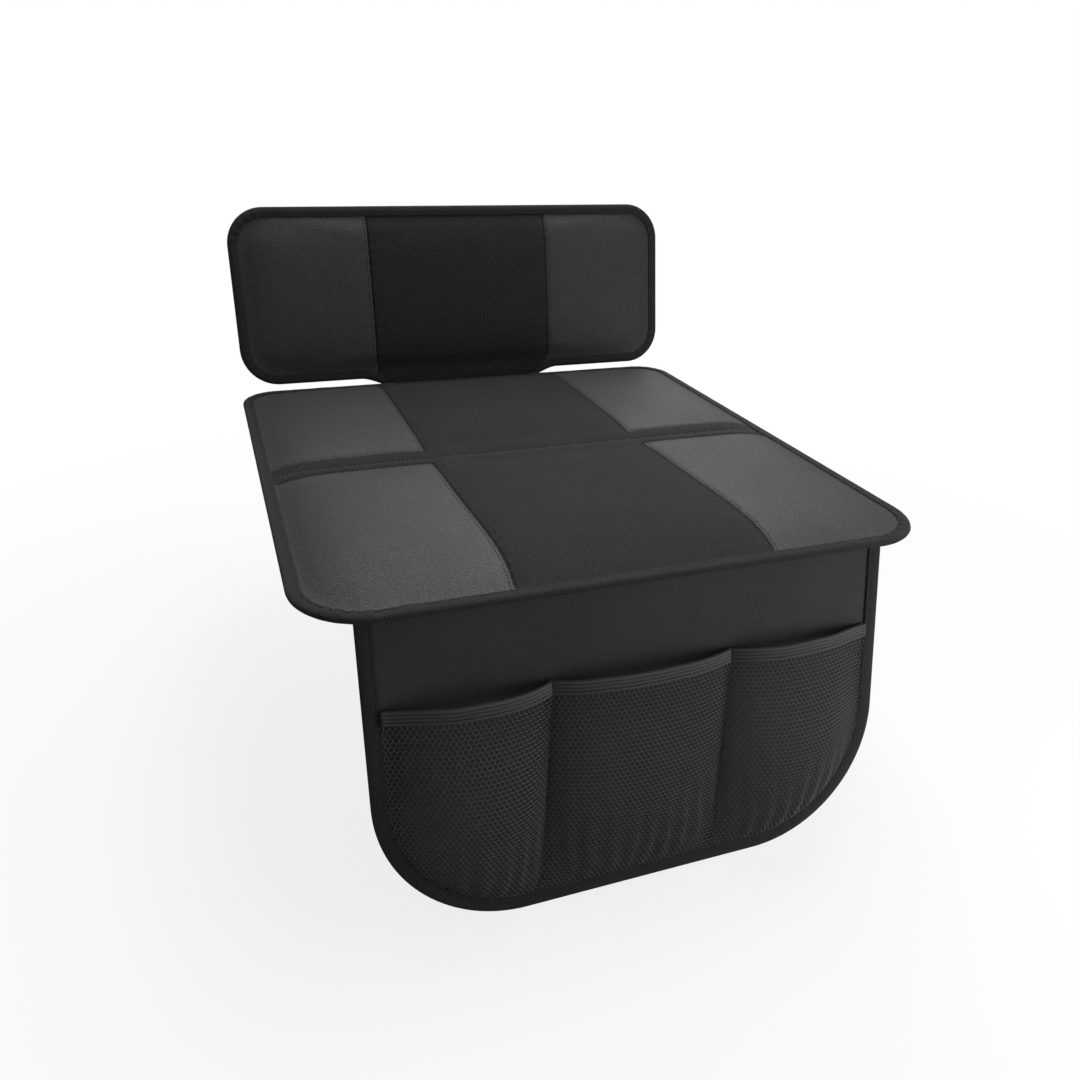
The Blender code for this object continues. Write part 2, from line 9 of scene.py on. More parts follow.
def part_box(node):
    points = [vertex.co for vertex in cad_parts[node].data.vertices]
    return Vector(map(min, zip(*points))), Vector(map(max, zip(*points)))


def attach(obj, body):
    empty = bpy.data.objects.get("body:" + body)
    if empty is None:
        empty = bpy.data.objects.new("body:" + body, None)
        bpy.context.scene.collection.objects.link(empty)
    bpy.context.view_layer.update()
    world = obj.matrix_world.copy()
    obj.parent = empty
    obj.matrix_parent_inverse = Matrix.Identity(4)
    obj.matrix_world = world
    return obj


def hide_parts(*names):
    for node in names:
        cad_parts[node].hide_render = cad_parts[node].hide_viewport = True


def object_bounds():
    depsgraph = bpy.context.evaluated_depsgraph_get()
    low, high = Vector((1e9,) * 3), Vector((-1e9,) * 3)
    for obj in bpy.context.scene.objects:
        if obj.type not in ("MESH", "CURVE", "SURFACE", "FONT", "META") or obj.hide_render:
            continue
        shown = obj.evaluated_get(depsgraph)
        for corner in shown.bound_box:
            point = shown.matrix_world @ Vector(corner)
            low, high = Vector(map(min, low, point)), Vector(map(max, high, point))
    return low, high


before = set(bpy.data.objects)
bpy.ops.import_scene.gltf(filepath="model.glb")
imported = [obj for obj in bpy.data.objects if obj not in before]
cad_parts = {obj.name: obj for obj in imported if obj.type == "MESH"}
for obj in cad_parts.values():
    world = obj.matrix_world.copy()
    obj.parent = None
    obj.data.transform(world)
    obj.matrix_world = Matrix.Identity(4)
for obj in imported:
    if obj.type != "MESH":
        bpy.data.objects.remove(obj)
cad_low, cad_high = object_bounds()

# Filling of the seat pad. Two foam pads, one each side of the fold, lie between the lining below and
# the sewn cover above. Their edges are nipped thin by the binding, so each swells up towards its
# middle and pulls in along the seams. Each is blown up by a short cloth simulation.
seat_low, seat_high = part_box("seat_binding")
SEAT_HALF_WIDTH = (seat_high.x - seat_low.x) / 2
SEAT_HALF_DEPTH = (seat_high.y - seat_low.y) / 2
SEAT_FRONT_CORNER = 0.050
SEAT_REAR_CORNER = 0.034
PAD_TAPE_WIDTH = 0.0095
PAD_EDGE = 0.0011
SEAM_X = 0.094
SEAMS = (-SEAM_X, SEAM_X)
FOAM_BASE = 0.0009
FOAM_RIM_TOP = 0.0018
SEAT_CROWN = 0.0105
SEAM_DIP = 0.14
SEAM_REACH = 0.007
CROWN_START = 0.002
CROWN_REACH = 0.013
SEAT_FRONT_REACH = 0.026
FOLD_GROOVE = 0.005
FOLD_FRONT = -0.014
FOLD_REAR = 0.016
SEAM_BOW = 0.0050
BOW_SKEW = 0.0008
BOW_REACH = 0.120
BOW_LATE = 2.3
FILL_STEP = 0.005
START_SHARE = 0.86
BLOW_FRAMES = 20
BLOW_PRESSURE = 4
MOST_SWELL = 0.0018
HELD_BESIDE = 0.001
SEAM_HOLD = 0.9
JUST_ABOVE = 0.0002
LEAST_FILL = 0.0003
COVER_PRESS = 0.0006
SEAM_PRESS = 0.0022


def swell(distance, reach):
    """Rises from 0 at an edge towards 1 well inside it."""
    return 1.0 - math.exp(-max(distance, 0.0) / reach)


def smooth(value):
    """An even step from 0 to 1."""
    value = min(max(value, 0.0), 1.0)
    return value * value * (3.0 - 2.0 * value)


def edge_room(x, y, half_width, half_depth, radius):
    """Room across and room along from a point to the edge of a rounded rectangle."""
    across = max(abs(x) - (half_width - radius), 0.0)
    along = max(abs(y) - (half_depth - radius), 0.0)
    side = half_width - radius + math.sqrt(max(radius**2 - along**2, 0.0)) - abs(x)
    end = half_depth - radius + math.sqrt(max(radius**2 - across**2, 0.0)) - abs(y)
    return side - CROWN_START, end - CROWN_START


def seat_corner(y):
    """The seat pad's corner radius at its front or its rear."""
    return SEAT_FRONT_CORNER if y < 0 else SEAT_REAR_CORNER


def seat_room(x, y, corner):
    """Room from a point of the seat pad to the inner edge of its binding."""
    half_width, half_depth = SEAT_HALF_WIDTH - PAD_TAPE_WIDTH, SEAT_HALF_DEPTH - PAD_TAPE_WIDTH
    return edge_room(x, y, half_width, half_depth, corner - PAD_TAPE_WIDTH)


def from_seam(x):
    """Distance to the nearer of the two seams between middle and sides."""
    return abs(abs(x) - SEAM_X)


def near_seam(x):
    """1 on a seam, dying away beside it."""
    return math.exp(-((from_seam(x) / SEAM_REACH) ** 2))


def bow(x, y):
    """How far the seat's cover is sewn over to the right: the front seams run in a slight bow."""
    share = min(max((FOLD_FRONT - y) / (SEAT_HALF_DEPTH + FOLD_FRONT), 0.0), 1.0)
    most = SEAM_BOW + BOW_SKEW * min(max(x / SEAM_X, -1.0), 1.0)
    return most * math.sin(math.pi * share**BOW_LATE) * (1.0 - smooth((abs(x) - SEAM_X) / BOW_REACH))


def no_bow(x, y):
    """The back's seams run straight."""
    return 0.0


def seat_fill_top(x, y):
    """Height of the drawn filling before it is blown up."""
    side, end = seat_room(x, y, seat_corner(y))
    end_reach = SEAT_FRONT_REACH if y < 0 else CROWN_REACH
    rise = swell(side, CROWN_REACH) * swell(end, end_reach) * swell(abs(y) - FOLD_GROOVE, CROWN_REACH)
    return FOAM_RIM_TOP + SEAT_CROWN * rise * (1.0 - SEAM_DIP * near_seam(x - bow(x, y)))


def held_inside(x, y, half_width, low, high, corner_low, corner_high):
    """The point itself, or the nearest one on the rounded rectangle if it lies outside it."""
    middle = (low + high) / 2
    corner = corner_low if y < middle else corner_high
    half = (high - low) / 2
    up = y - middle
    across = abs(x) - (half_width - corner)
    along = abs(up) - (half - corner)
    if across > 0.0 and along > 0.0 and math.hypot(across, along) > corner:
        scale = corner / math.hypot(across, along)
        across *= scale
        along *= scale
        x = math.copysign(half_width - corner + across, x)
        up = math.copysign(half - corner + along, up)
    return min(max(x, -half_width), half_width), middle + min(max(up, -half), half)


CLOSE = 0.45
LEAST_APART = 0.00012


def lines(low, high, step, fine_at=(), fine=()):
    """Grid lines from low to high, a step apart, with finer ones at each offset from the given places."""
    count = max(round((high - low) / step), 1)
    wanted = {low, high}
    for place in fine_at:
        wanted |= {place + side * offset for offset in fine for side in (-1, 1)}
    wanted = {line for line in wanted if low <= line <= high}
    for index in range(count + 1):
        line = low + (high - low) * index / count
        if all(abs(line - other) > step * CLOSE for other in wanted):
            wanted.add(line)
    kept = []
    for line in sorted(wanted):
        if not kept or line - kept[-1] > LEAST_APART:
            kept.append(line)
    return kept


def grid(columns, rows):
    """A flat sheet of quads on the given grid lines."""
    shape = bmesh.new()
    bmesh.ops.create_grid(shape, x_segments=len(columns) - 1, y_segments=len(rows) - 1, size=0.5)
    for vertex in shape.verts:
        column = round((vertex.co.x + 0.5) * (len(columns) - 1))
        row = round((vertex.co.y + 0.5) * (len(rows) - 1))
        vertex.co.xy = (columns[column], rows[row])
    return shape


def added(name, shape, matrix=None):
    """A bmesh as an object of the scene, shaded smooth."""
    mesh = bpy.data.meshes.new(name)
    shape.to_mesh(mesh)
    shape.free()
    if matrix:
        mesh.transform(matrix)
    mesh.shade_smooth()
    obj = bpy.data.objects.new(name, mesh)
    bpy.context.scene.collection.objects.link(obj)
    return obj


def filled_pad(name, columns, rows, top, hold, shift):
    """A closed pad on a flat base: the grid with its top raised, its base and a wall between them."""
    shape = grid(columns, rows)
    base = bmesh.ops.extrude_face_region(shape, geom=shape.faces[:], use_keep_orig=True)
    lower = {item for item in base["geom"] if isinstance(item, bmesh.types.BMVert)}
    for vertex in shape.verts:
        x, y = hold(vertex.co.x + shift(vertex.co.x, vertex.co.y), vertex.co.y)
        height = FOAM_BASE if vertex in lower else FOAM_RIM_TOP + START_SHARE * (top(x, y) - FOAM_RIM_TOP)
        vertex.co = (x, y, height)
    bmesh.ops.dissolve_degenerate(shape, edges=shape.edges[:], dist=JUST_ABOVE)
    bmesh.ops.recalc_face_normals(shape, faces=shape.faces)
    return added(name, shape)


def blown_up(obj, pinned, most):
    """Blows the pad up as cloth under pressure, held where pinned says, and caps how far it moves."""
    rest = [vertex.co.copy() for vertex in obj.data.vertices]
    group = obj.vertex_groups.new(name="sewn_down")
    for vertex in obj.data.vertices:
        group.add([vertex.index], pinned(vertex.co), "REPLACE")
    cloth = obj.modifiers.new("filling", "CLOTH")
    cloth.settings.quality = 6
    cloth.settings.mass = 0.3
    cloth.settings.tension_stiffness = 25
    cloth.settings.compression_stiffness = 25
    cloth.settings.shear_stiffness = 12
    cloth.settings.bending_stiffness = 2
    cloth.settings.use_pressure = True
    cloth.settings.uniform_pressure_force = BLOW_PRESSURE
    cloth.settings.vertex_group_mass = "sewn_down"
    cloth.settings.effector_weights.gravity = 0
    cloth.collision_settings.use_collision = False
    cloth.point_cache.frame_end = BLOW_FRAMES
    for number in range(1, BLOW_FRAMES + 1):
        bpy.context.scene.frame_set(number)
    blown = obj.evaluated_get(bpy.context.evaluated_depsgraph_get()).data
    moved = [vertex.co.copy() for vertex in blown.vertices]
    obj.modifiers.clear()
    obj.vertex_groups.clear()
    bpy.context.scene.frame_set(1)
    for vertex, start, end in zip(obj.data.vertices, rest, moved):
        step = end - start
        if step.length > most:
            step *= most / step.length
        vertex.co = start + step
    smoother = obj.modifiers.new("rounded", "SUBSURF")
    smoother.levels = 1
    smoother.render_levels = 1


def surface_of(obj):
    """The tree that rays are cast at to find how high a blown-up pad stands."""
    return BVHTree.FromObject(obj, bpy.context.evaluated_depsgraph_get())


def pressed_in(obj, shift):
    """Lowers the filling a little under its cover, and more where the seams are pulled down into it."""
    for vertex in obj.data.vertices:
        x, y, height = vertex.co
        if height > FOAM_BASE + JUST_ABOVE:
            pressed = height - COVER_PRESS - SEAM_PRESS * near_seam(x - shift(x, y))
            vertex.co.z = max(pressed, FOAM_BASE + LEAST_FILL)


def hold_seat(x, y):
    """The point itself, or the nearest one inside the seat pad's raw edge."""
    half_width, half_depth = SEAT_HALF_WIDTH - PAD_EDGE, SEAT_HALF_DEPTH - PAD_EDGE
    corners = (SEAT_FRONT_CORNER - PAD_EDGE, SEAT_REAR_CORNER - PAD_EDGE)
    return held_inside(x, y, half_width, -half_depth, half_depth, *corners)


def seat_pinned(point):
    """The base, the nipped rim and the two seam lines don't move; the rest swells freely."""
    if point.z < FOAM_BASE + JUST_ABOVE:
        return 1.0
    at_rim = min(seat_room(point.x, point.y, seat_corner(point.y))) < HELD_BESIDE
    if at_rim or abs(point.y) < FOLD_GROOVE + 2 * HELD_BESIDE:
        return 1.0
    return SEAM_HOLD if from_seam(point.x - bow(point.x, point.y)) < 1.5 * HELD_BESIDE else 0.0


def shader_of(name):
    """A new material with its node tree and its surface shader."""
    made = bpy.data.materials.new(name)
    made.use_nodes = True
    return made, made.node_tree, made.node_tree.nodes["Principled BSDF"]


def plug(tree, value, socket):
    """Links the value where it is another node's socket, and otherwise sets it."""
    if isinstance(value, bpy.types.NodeSocket):
        tree.links.new(value, socket)
    else:
        socket.default_value = value


def node(tree, kind, settings=None, **inputs):
    """Adds a shader node. Settings are its own fields; inputs are values, or sockets to link."""
    made = tree.nodes.new(kind)
    for field, value in (settings or {}).items():
        setattr(made, field, value)
    for label, value in inputs.items():
        plug(tree, value, made.inputs[label])
    return made


def maths(tree, operation, *values):
    """A Math node's result."""
    made = node(tree, "ShaderNodeMath", {"operation": operation})
    for socket, value in zip(made.inputs, values):
        plug(tree, value, socket)
    return made.outputs[0]


def weighed(tree, *parts):
    """The sum of (value, weight) pairs."""
    total = 0.0
    for value, weight in parts:
        total = maths(tree, "MULTIPLY_ADD", value, weight, total)
    return total


def blend_of(tree, share, first, second):
    """The colour between two colours or colour sockets, at that share of the second."""
    made = node(tree, "ShaderNodeMix", {"data_type": "RGBA"})
    plug(tree, share, made.inputs[0])
    for colour, socket in ((first, made.inputs[6]), (second, made.inputs[7])):
        plug(tree, (*colour, 1.0) if isinstance(colour, tuple) else colour, socket)
    return made.outputs[2]


def ramped(tree, value, low, high):
    """The value brought to 0 at low and 1 at high."""
    made = tree.nodes.new("ShaderNodeMapRange")
    tree.links.new(value, made.inputs[0])
    made.inputs[1].default_value = low
    made.inputs[2].default_value = high
    return made.outputs[0]


def noise_at(tree, place, scale, detail=2.0, roughness=0.5):
    """Noise between 0 and 1, with this many features in a metre."""
    made = node(tree, "ShaderNodeTexNoise", Vector=place, Scale=scale, Detail=detail, Roughness=roughness)
    return made.outputs["Fac"]


def own_place(tree):
    """The place on the piece itself, in metres."""
    return node(tree, "ShaderNodeTexCoord").outputs["Object"]


def finished(tree, shader, tone, roughness, specular=0.5, sheen=0.0):
    """Gives the shader its colour, its gloss and the sheen of its fibres."""
    plug(tree, tone, shader.inputs["Base Color"])
    plug(tree, roughness, shader.inputs["Roughness"])
    shader.inputs["Specular IOR Level"].default_value = specular
    shader.inputs["Sheen Weight"].default_value = sheen


def bumped(tree, shader, height, depth):
    """Links a bump of that depth in metres to the shader, over any bump that is there already."""
    made = node(tree, "ShaderNodeBump", Height=height, Distance=depth, Strength=1.0)
    links = shader.inputs["Normal"].links
    if links:
        tree.links.new(links[0].from_socket, made.inputs["Normal"])
    tree.links.new(made.outputs[0], shader.inputs["Normal"])


FOAM_CELLS = 900.0
FOAM_DARK = (0.26, 0.26, 0.24)
FOAM_LIGHT = (0.36, 0.36, 0.33)


def foam_look():
    """Soft foam with open cells."""
    made, tree, shader = shader_of("foam")
    cells = node(tree, "ShaderNodeTexVoronoi", Vector=own_place(tree), Scale=FOAM_CELLS).outputs["Distance"]
    finished(tree, shader, blend_of(tree, cells, FOAM_DARK, FOAM_LIGHT), 0.95)
    bumped(tree, shader, cells, 0.0004)
    return made


FOAM = foam_look()
seat_surfaces = []
for pad_name, cad_node, first_row, last_row in (
    ("front_cushion", "front_foam", -SEAT_HALF_DEPTH, -FOLD_GROOVE),
    ("rear_cushion", "rear_foam", FOLD_GROOVE, SEAT_HALF_DEPTH),
):
    cushion = filled_pad(
        pad_name,
        lines(-SEAT_HALF_WIDTH, SEAT_HALF_WIDTH, FILL_STEP, SEAMS, (0.0,)),
        lines(first_row, last_row, FILL_STEP),
        seat_fill_top,
        hold_seat,
        bow,
    )
    blown_up(cushion, seat_pinned, MOST_SWELL)
    cushion.data.materials.append(FOAM)
    seat_surfaces.append(surface_of(cushion))
    pressed_in(cushion, bow)
    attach(cushion, "root")
    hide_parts(cad_node)


# Filling of the back pad. One foam pad, made in the same way, flat and then stood up and leaned back.
# Its own flat frame has X across, Y up from the lower edge and Z out of the face.
LEAN = math.radians(11.1)
TURN_UP = math.pi / 2 - LEAN
BACK_HALF_WIDTH = 0.229
BACK_HEIGHT = 0.170
BACK_CORNER = 0.036
BACK_CROWN = 0.0095
BACK_SWELL = 0.0009
BACK_FOOT = (0.003, 0.23997, 0.0082)
NECK_HALF = 0.075
NECK_TURN = 0.009
NECK_FLARE = 0.034
UPRIGHT = Matrix.Rotation(TURN_UP, 4, "X")
BACK_PLACE = Matrix.Translation(BACK_FOOT) @ UPRIGHT


def back_room(x, y):
    """Room from a point of the back pad to the inner edge of its binding."""
    half_width = BACK_HALF_WIDTH - PAD_TAPE_WIDTH
    half_height = BACK_HEIGHT / 2 - PAD_TAPE_WIDTH
    return edge_room(x, y - BACK_HEIGHT / 2, half_width, half_height, BACK_CORNER - PAD_TAPE_WIDTH)


def back_fill_top(x, y):
    """Height of the back's drawn filling before it is blown up."""
    side, end = back_room(x, y)
    rise = swell(side, CROWN_REACH) * swell(end, CROWN_REACH)
    return FOAM_RIM_TOP + BACK_CROWN * rise * (1.0 - SEAM_DIP * near_seam(x))


def neck_dip(x):
    """How far the back's lower edge dips where it nears the neck, in which it is sewn to the seat."""
    return NECK_TURN * (1.0 - smooth((abs(x + BACK_FOOT[0]) - NECK_HALF) / NECK_FLARE))


def hold_back(x, y):
    """The point itself, or the nearest one inside the back pad's raw edge or its neck."""
    if y < PAD_EDGE and neck_dip(x) > 0.0:
        return x, max(y, PAD_EDGE - neck_dip(x))
    corner = BACK_CORNER - PAD_EDGE
    return held_inside(x, y, BACK_HALF_WIDTH - PAD_EDGE, PAD_EDGE, BACK_HEIGHT - PAD_EDGE, corner, corner)


def back_pinned(point):
    """As on the seat: the base, the nipped rim and the seam lines don't move."""
    if point.z < FOAM_BASE + JUST_ABOVE or min(back_room(point.x, point.y)) < HELD_BESIDE:
        return 1.0
    return SEAM_HOLD if from_seam(point.x) < HELD_BESIDE else 0.0


back_cushion = filled_pad(
    "back_cushion",
    lines(-BACK_HALF_WIDTH, BACK_HALF_WIDTH, FILL_STEP, SEAMS, (0.0,)),
    lines(0.0, BACK_HEIGHT, FILL_STEP),
    back_fill_top,
    hold_back,
    no_bow,
)
blown_up(back_cushion, back_pinned, BACK_SWELL)
back_surface = surface_of(back_cushion)
pressed_in(back_cushion, no_bow)
back_cushion.data.transform(BACK_PLACE)
back_cushion.data.materials.append(FOAM)
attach(back_cushion, "root")
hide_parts("back_foam")


# Grained panels. Leatherette with a knitted backing, cut to shape and sewn face to face with the
# middle panel; the turned edges sink into the seam, and a row of topstitching beside it holds them.
FACE = 0.0008
FACE_GAP = 0.0003
SEAM_SINK = 0.0016
SEAM_SINK_REACH = 0.0013
TOPSTITCH_AT = 0.0032
TOPSTITCH_SINK = 0.00035
TOPSTITCH_REACH = 0.0011
NEAR_SEAM = 0.00015
FACE_STEP = 0.0026
FINE = (0.0002, 0.0007, 0.0013, 0.0020, 0.0027, 0.0032, 0.0037, 0.0045, 0.0060)
FACE_DIMPLE = 0.00018
COVER_WELD = 0.00004
RIM_EASE = 0.02
PUCKER_EASE = 0.003
DIP_EASE = 0.004
DIP_AT_RIM = 0.3
RAY_FROM = 0.2
UP = Vector((0.0, 0.0, 1.0))
FOLD_SHOULDER = 0.024
FOLD_REACH = 0.006
FOLD_DEPTH = 0.40
PUCKER = 0.00030
PUCKER_PITCH = 0.0105
PUCKER_REACH = 0.007


def sewn_dip(distance, sink=SEAM_SINK):
    """How far the cover sinks at this distance from a seam: into the seam, then at its topstitching."""
    seam = sink * math.exp(-((distance / SEAM_SINK_REACH) ** 2))
    stitched = TOPSTITCH_SINK * math.exp(-(((distance - TOPSTITCH_AT) / TOPSTITCH_REACH) ** 2))
    return seam + stitched


def cast_height(tree, x, y, fallback):
    """Height of the blown-up filling at a point, or of the drawn one where a ray misses it."""
    hit = tree.ray_cast(Vector((x, y, RAY_FROM)), -UP)[0]
    return max(hit.z, FOAM_RIM_TOP) if hit else fallback(x, y)


def uneven(x, y, seed):
    """The slight hand-made unevenness of a stuffed cover, from -1 to 1."""
    return noise.noise(Vector((x * 28, y * 28, seed))) + 0.5 * noise.noise(Vector((x * 75, y * 75, seed)))


def puckered(along, distance, seed):
    """Small gathers that the stitching draws across a seam, dying away beside it."""
    phase = 2 * math.pi * along / PUCKER_PITCH + 3.0 * noise.noise(Vector((along * 40, seed, 0.5)))
    return PUCKER * math.sin(phase) * math.exp(-distance / PUCKER_REACH)


def seat_face(x, y):
    """The point of the seat's cover whose place, before the seams were bowed, was x, y."""
    real_x, real_y = hold_seat(x + bow(x, y), y)
    tree = seat_surfaces[0] if y < 0 else seat_surfaces[1]
    low = cast_height(tree, real_x, real_y, seat_fill_top)
    if abs(y) < FOLD_SHOULDER:
        shoulder = cast_height(tree, real_x, math.copysign(FOLD_SHOULDER, y), seat_fill_top)
        floor_height = shoulder - FOLD_DEPTH * (shoulder - FOAM_BASE)
        low = max(low, shoulder - (shoulder - floor_height) * math.exp(-abs(y) / FOLD_REACH))
    low += FACE_GAP
    side, end = seat_room(real_x, real_y, seat_corner(y))
    room = min(side, end)
    free = smooth(room / RIM_EASE)
    to_seam = from_seam(x)
    low += free * (FACE_DIMPLE * uneven(x, y, 3.0) + puckered(x, abs(y), 2.0))
    low += free * puckered(y, to_seam, 5.0) * smooth(abs(y) / RIM_EASE)
    dip = sewn_dip(to_seam) if not FOLD_FRONT < y < FOLD_REAR else 0.0
    if abs(x) > SEAM_X:
        dip = max(dip, sewn_dip(min(abs(y - FOLD_FRONT), abs(y - FOLD_REAR))))
    low += puckered(x if end < side else y, max(room, 0.0), 9.0) * smooth(room / PUCKER_EASE)
    low -= dip * smooth(room / DIP_EASE + DIP_AT_RIM)
    return real_x, real_y, max(low, FOAM_BASE) + FACE


def back_face(x, y):
    """A point of the back pad's cover, in its flat frame."""
    x, y = hold_back(x, y)
    side, end = back_room(x, y)
    room = min(side, end)
    to_seam = from_seam(x)
    low = cast_height(back_surface, x, y, back_fill_top) + FACE_GAP
    low += smooth(room / RIM_EASE) * (FACE_DIMPLE * uneven(x, y, 8.0) + puckered(y, to_seam, 7.0))
    low += puckered(x if end < side else y, max(room, 0.0), 4.0) * smooth(room / PUCKER_EASE)
    low -= sewn_dip(to_seam) * smooth(room / DIP_EASE + DIP_AT_RIM)
    return x, y, max(low, FOAM_BASE) + FACE


def laid_flat(shape, spots):
    """Stores each vertex's place on the flat cloth, which the weave follows."""
    cloth = shape.loops.layers.uv.new("cloth")
    for face in shape.faces:
        for loop in face.loops:
            loop[cloth].uv = spots[loop.vert]


def thickened(piece, thickness, offset):
    """Gives a sheet its real thickness, from its middle (0) or all below it (-1)."""
    thick = piece.modifiers.new("thickness", "SOLIDIFY")
    thick.thickness = thickness
    thick.offset = offset
    return piece


def cover(name, columns, rows, place, boxes, matrix=None, thickness=FACE):
    """A piece of cover: a sheet over the boxes, trimmed to the pad's outline, with its real thickness."""
    shape = grid(columns, rows)
    flat = {vertex: (vertex.co.x, vertex.co.y) for vertex in shape.verts}
    unwanted = []
    for face in shape.faces:
        heart = face.calc_center_median()
        if not any(box[0] < heart.x < box[1] and box[2] < heart.y < box[3] for box in boxes):
            unwanted.append(face)
    bmesh.ops.delete(shape, geom=unwanted, context="FACES")
    for vertex in shape.verts:
        vertex.co = place(*flat[vertex])
    laid_flat(shape, flat)
    bmesh.ops.dissolve_degenerate(shape, edges=shape.edges[:], dist=COVER_WELD)
    return thickened(added(name, shape, matrix), thickness, -1.0)


def dressed(piece, look, slot, *nodes):
    """Gives a piece its material and hides the solids that it stands for; its slot is not used."""
    piece.data.materials.append(look)
    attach(piece, "root")
    if nodes:
        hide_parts(*nodes)
    return piece


PEBBLES = 640.0
PEBBLE_RISE = 0.00012
LEATHER_VALLEY = (0.035, 0.035, 0.034)
LEATHER_TOP = (0.056, 0.057, 0.054)
LEATHER_WORN = (0.068, 0.069, 0.066)
LEATHER_SHADE = (0.034, 0.035, 0.034)


def leatherette_look():
    """Fine pebble grain: small raised cells of uneven size, with pores in the valleys between them."""
    made, tree, shader = shader_of("grained_leatherette")
    place = own_place(tree)
    stretch = node(tree, "ShaderNodeTexNoise", Vector=place, Scale=PEBBLES / 4, Detail=2.0)
    bent = node(tree, "ShaderNodeMix", {"data_type": "VECTOR"}, Factor=0.0022)
    plug(tree, place, bent.inputs[4])
    plug(tree, stretch.outputs["Color"], bent.inputs[5])
    smooth_cells = {"feature": "SMOOTH_F1"}
    pebbles = node(
        tree, "ShaderNodeTexVoronoi", smooth_cells, Vector=bent.outputs[1], Scale=PEBBLES, Smoothness=0.3
    )
    raised = ramped(tree, pebbles.outputs["Distance"], 0.60, 0.15)
    grain = noise_at(tree, place, PEBBLES, 3.0, 0.6)
    pores = noise_at(tree, place, 2600.0, 1.0)
    broad = noise_at(tree, place, 9.0)
    worn = maths(tree, "MULTIPLY", ramped(tree, grain, 0.35, 0.70), 0.40)
    shaded = maths(tree, "MULTIPLY", ramped(tree, broad, 0.35, 0.75), 0.20)
    tone = blend_of(tree, raised, LEATHER_VALLEY, LEATHER_TOP)
    tone = blend_of(tree, worn, tone, LEATHER_WORN)
    tone = blend_of(tree, shaded, tone, LEATHER_SHADE)
    rough = maths(tree, "MULTIPLY_ADD", broad, 0.12, 0.60)
    rough = maths(tree, "MULTIPLY_ADD", raised, -0.10, rough)
    finished(tree, shader, tone, rough, 0.40)
    bumped(tree, shader, raised, PEBBLE_RISE)
    bumped(tree, shader, grain, 0.00005)
    bumped(tree, shader, pores, 0.00004)
    return made


def between(places, low, high):
    """Those grid lines that lie from low to high."""
    return [place for place in places if low - 0.0001 < place < high + 0.0001]


LEATHERETTE = leatherette_look()
FAR = 1.0
HALVES = (("front", -FAR, FOLD_FRONT - NEAR_SEAM), ("rear", FOLD_REAR + NEAR_SEAM, FAR))
SIDES = (("left", -FAR, -SEAM_X - NEAR_SEAM), ("right", SEAM_X + NEAR_SEAM, FAR))
seat_columns = lines(-SEAT_HALF_WIDTH, SEAT_HALF_WIDTH, FACE_STEP, SEAMS, FINE)
seat_rows = lines(-SEAT_HALF_DEPTH, SEAT_HALF_DEPTH, FACE_STEP, (FOLD_FRONT, 0.0, FOLD_REAR), FINE)
for half_name, first_row, last_row in HALVES:
    for side_name, left, right in SIDES:
        panel = cover(
            f"{half_name}_{side_name}_leatherette",
            between(seat_columns, left, right),
            between(seat_rows, first_row, last_row),
            seat_face,
            [(left, right, first_row, last_row)],
        )
        dressed(panel, LEATHERETTE, "grained_leatherette", f"{half_name}_{side_name}_panel")

back_columns = lines(-BACK_HALF_WIDTH, BACK_HALF_WIDTH, FACE_STEP, SEAMS, FINE)
back_rows = lines(-NECK_TURN, BACK_HEIGHT, FACE_STEP)
for side_name, left, right in SIDES:
    panel = cover(
        f"back_{side_name}_leatherette",
        between(back_columns, left, right),
        back_rows,
        back_face,
        [(left, right, -FAR, FAR)],
        BACK_PLACE,
    )
    dressed(panel, LEATHERETTE, "grained_leatherette", f"back_{side_name}_panel")


# Middle panels. Closely woven dark fabric: one cross-shaped piece runs down the middle of the seat
# and across the fold, where it is sewn through to the lining; another faces the middle of the back.
WEAVE_PITCH = 0.0016


def cloth_place(tree):
    """The place on the flat cloth, in metres, and its two parts: across and along."""
    cloth = node(tree, "ShaderNodeUVMap", {"uv_map": "cloth"}).outputs[0]
    parts = node(tree, "ShaderNodeSeparateXYZ", Vector=cloth).outputs
    return cloth, parts[0], parts[1]


def weave_look(name, dark, light, pitch, depth, roughness):
    """Plain weave: threads pass over and under each other in both directions."""
    made, tree, shader = shader_of(name)
    cloth, across, along = cloth_place(tree)
    wander = noise_at(tree, cloth, 260.0)
    turns = 2 * math.pi / pitch
    waves = [maths(tree, "SINE", weighed(tree, (way, turns), (wander, 1.6))) for way in (across, along)]
    raised = ramped(tree, maths(tree, "MULTIPLY", *waves), -1.0, 1.0)
    fuzz = noise_at(tree, cloth, 2400.0)
    broad = noise_at(tree, cloth, 22.0, 3.0)
    slubs = ramped(tree, noise_at(tree, cloth, 470.0, 4.0, 0.7), 0.34, 0.66)
    tone = blend_of(tree, weighed(tree, (fuzz, 0.2), (slubs, 0.62), (raised, 0.22)), dark, light)
    tone = blend_of(tree, maths(tree, "MULTIPLY", broad, 0.35), tone, dark)
    finished(tree, shader, tone, roughness, 0.22, 0.03)
    bumped(tree, shader, slubs, depth * 0.45)
    bumped(tree, shader, raised, depth)
    bumped(tree, shader, fuzz, depth * 0.3)
    return made


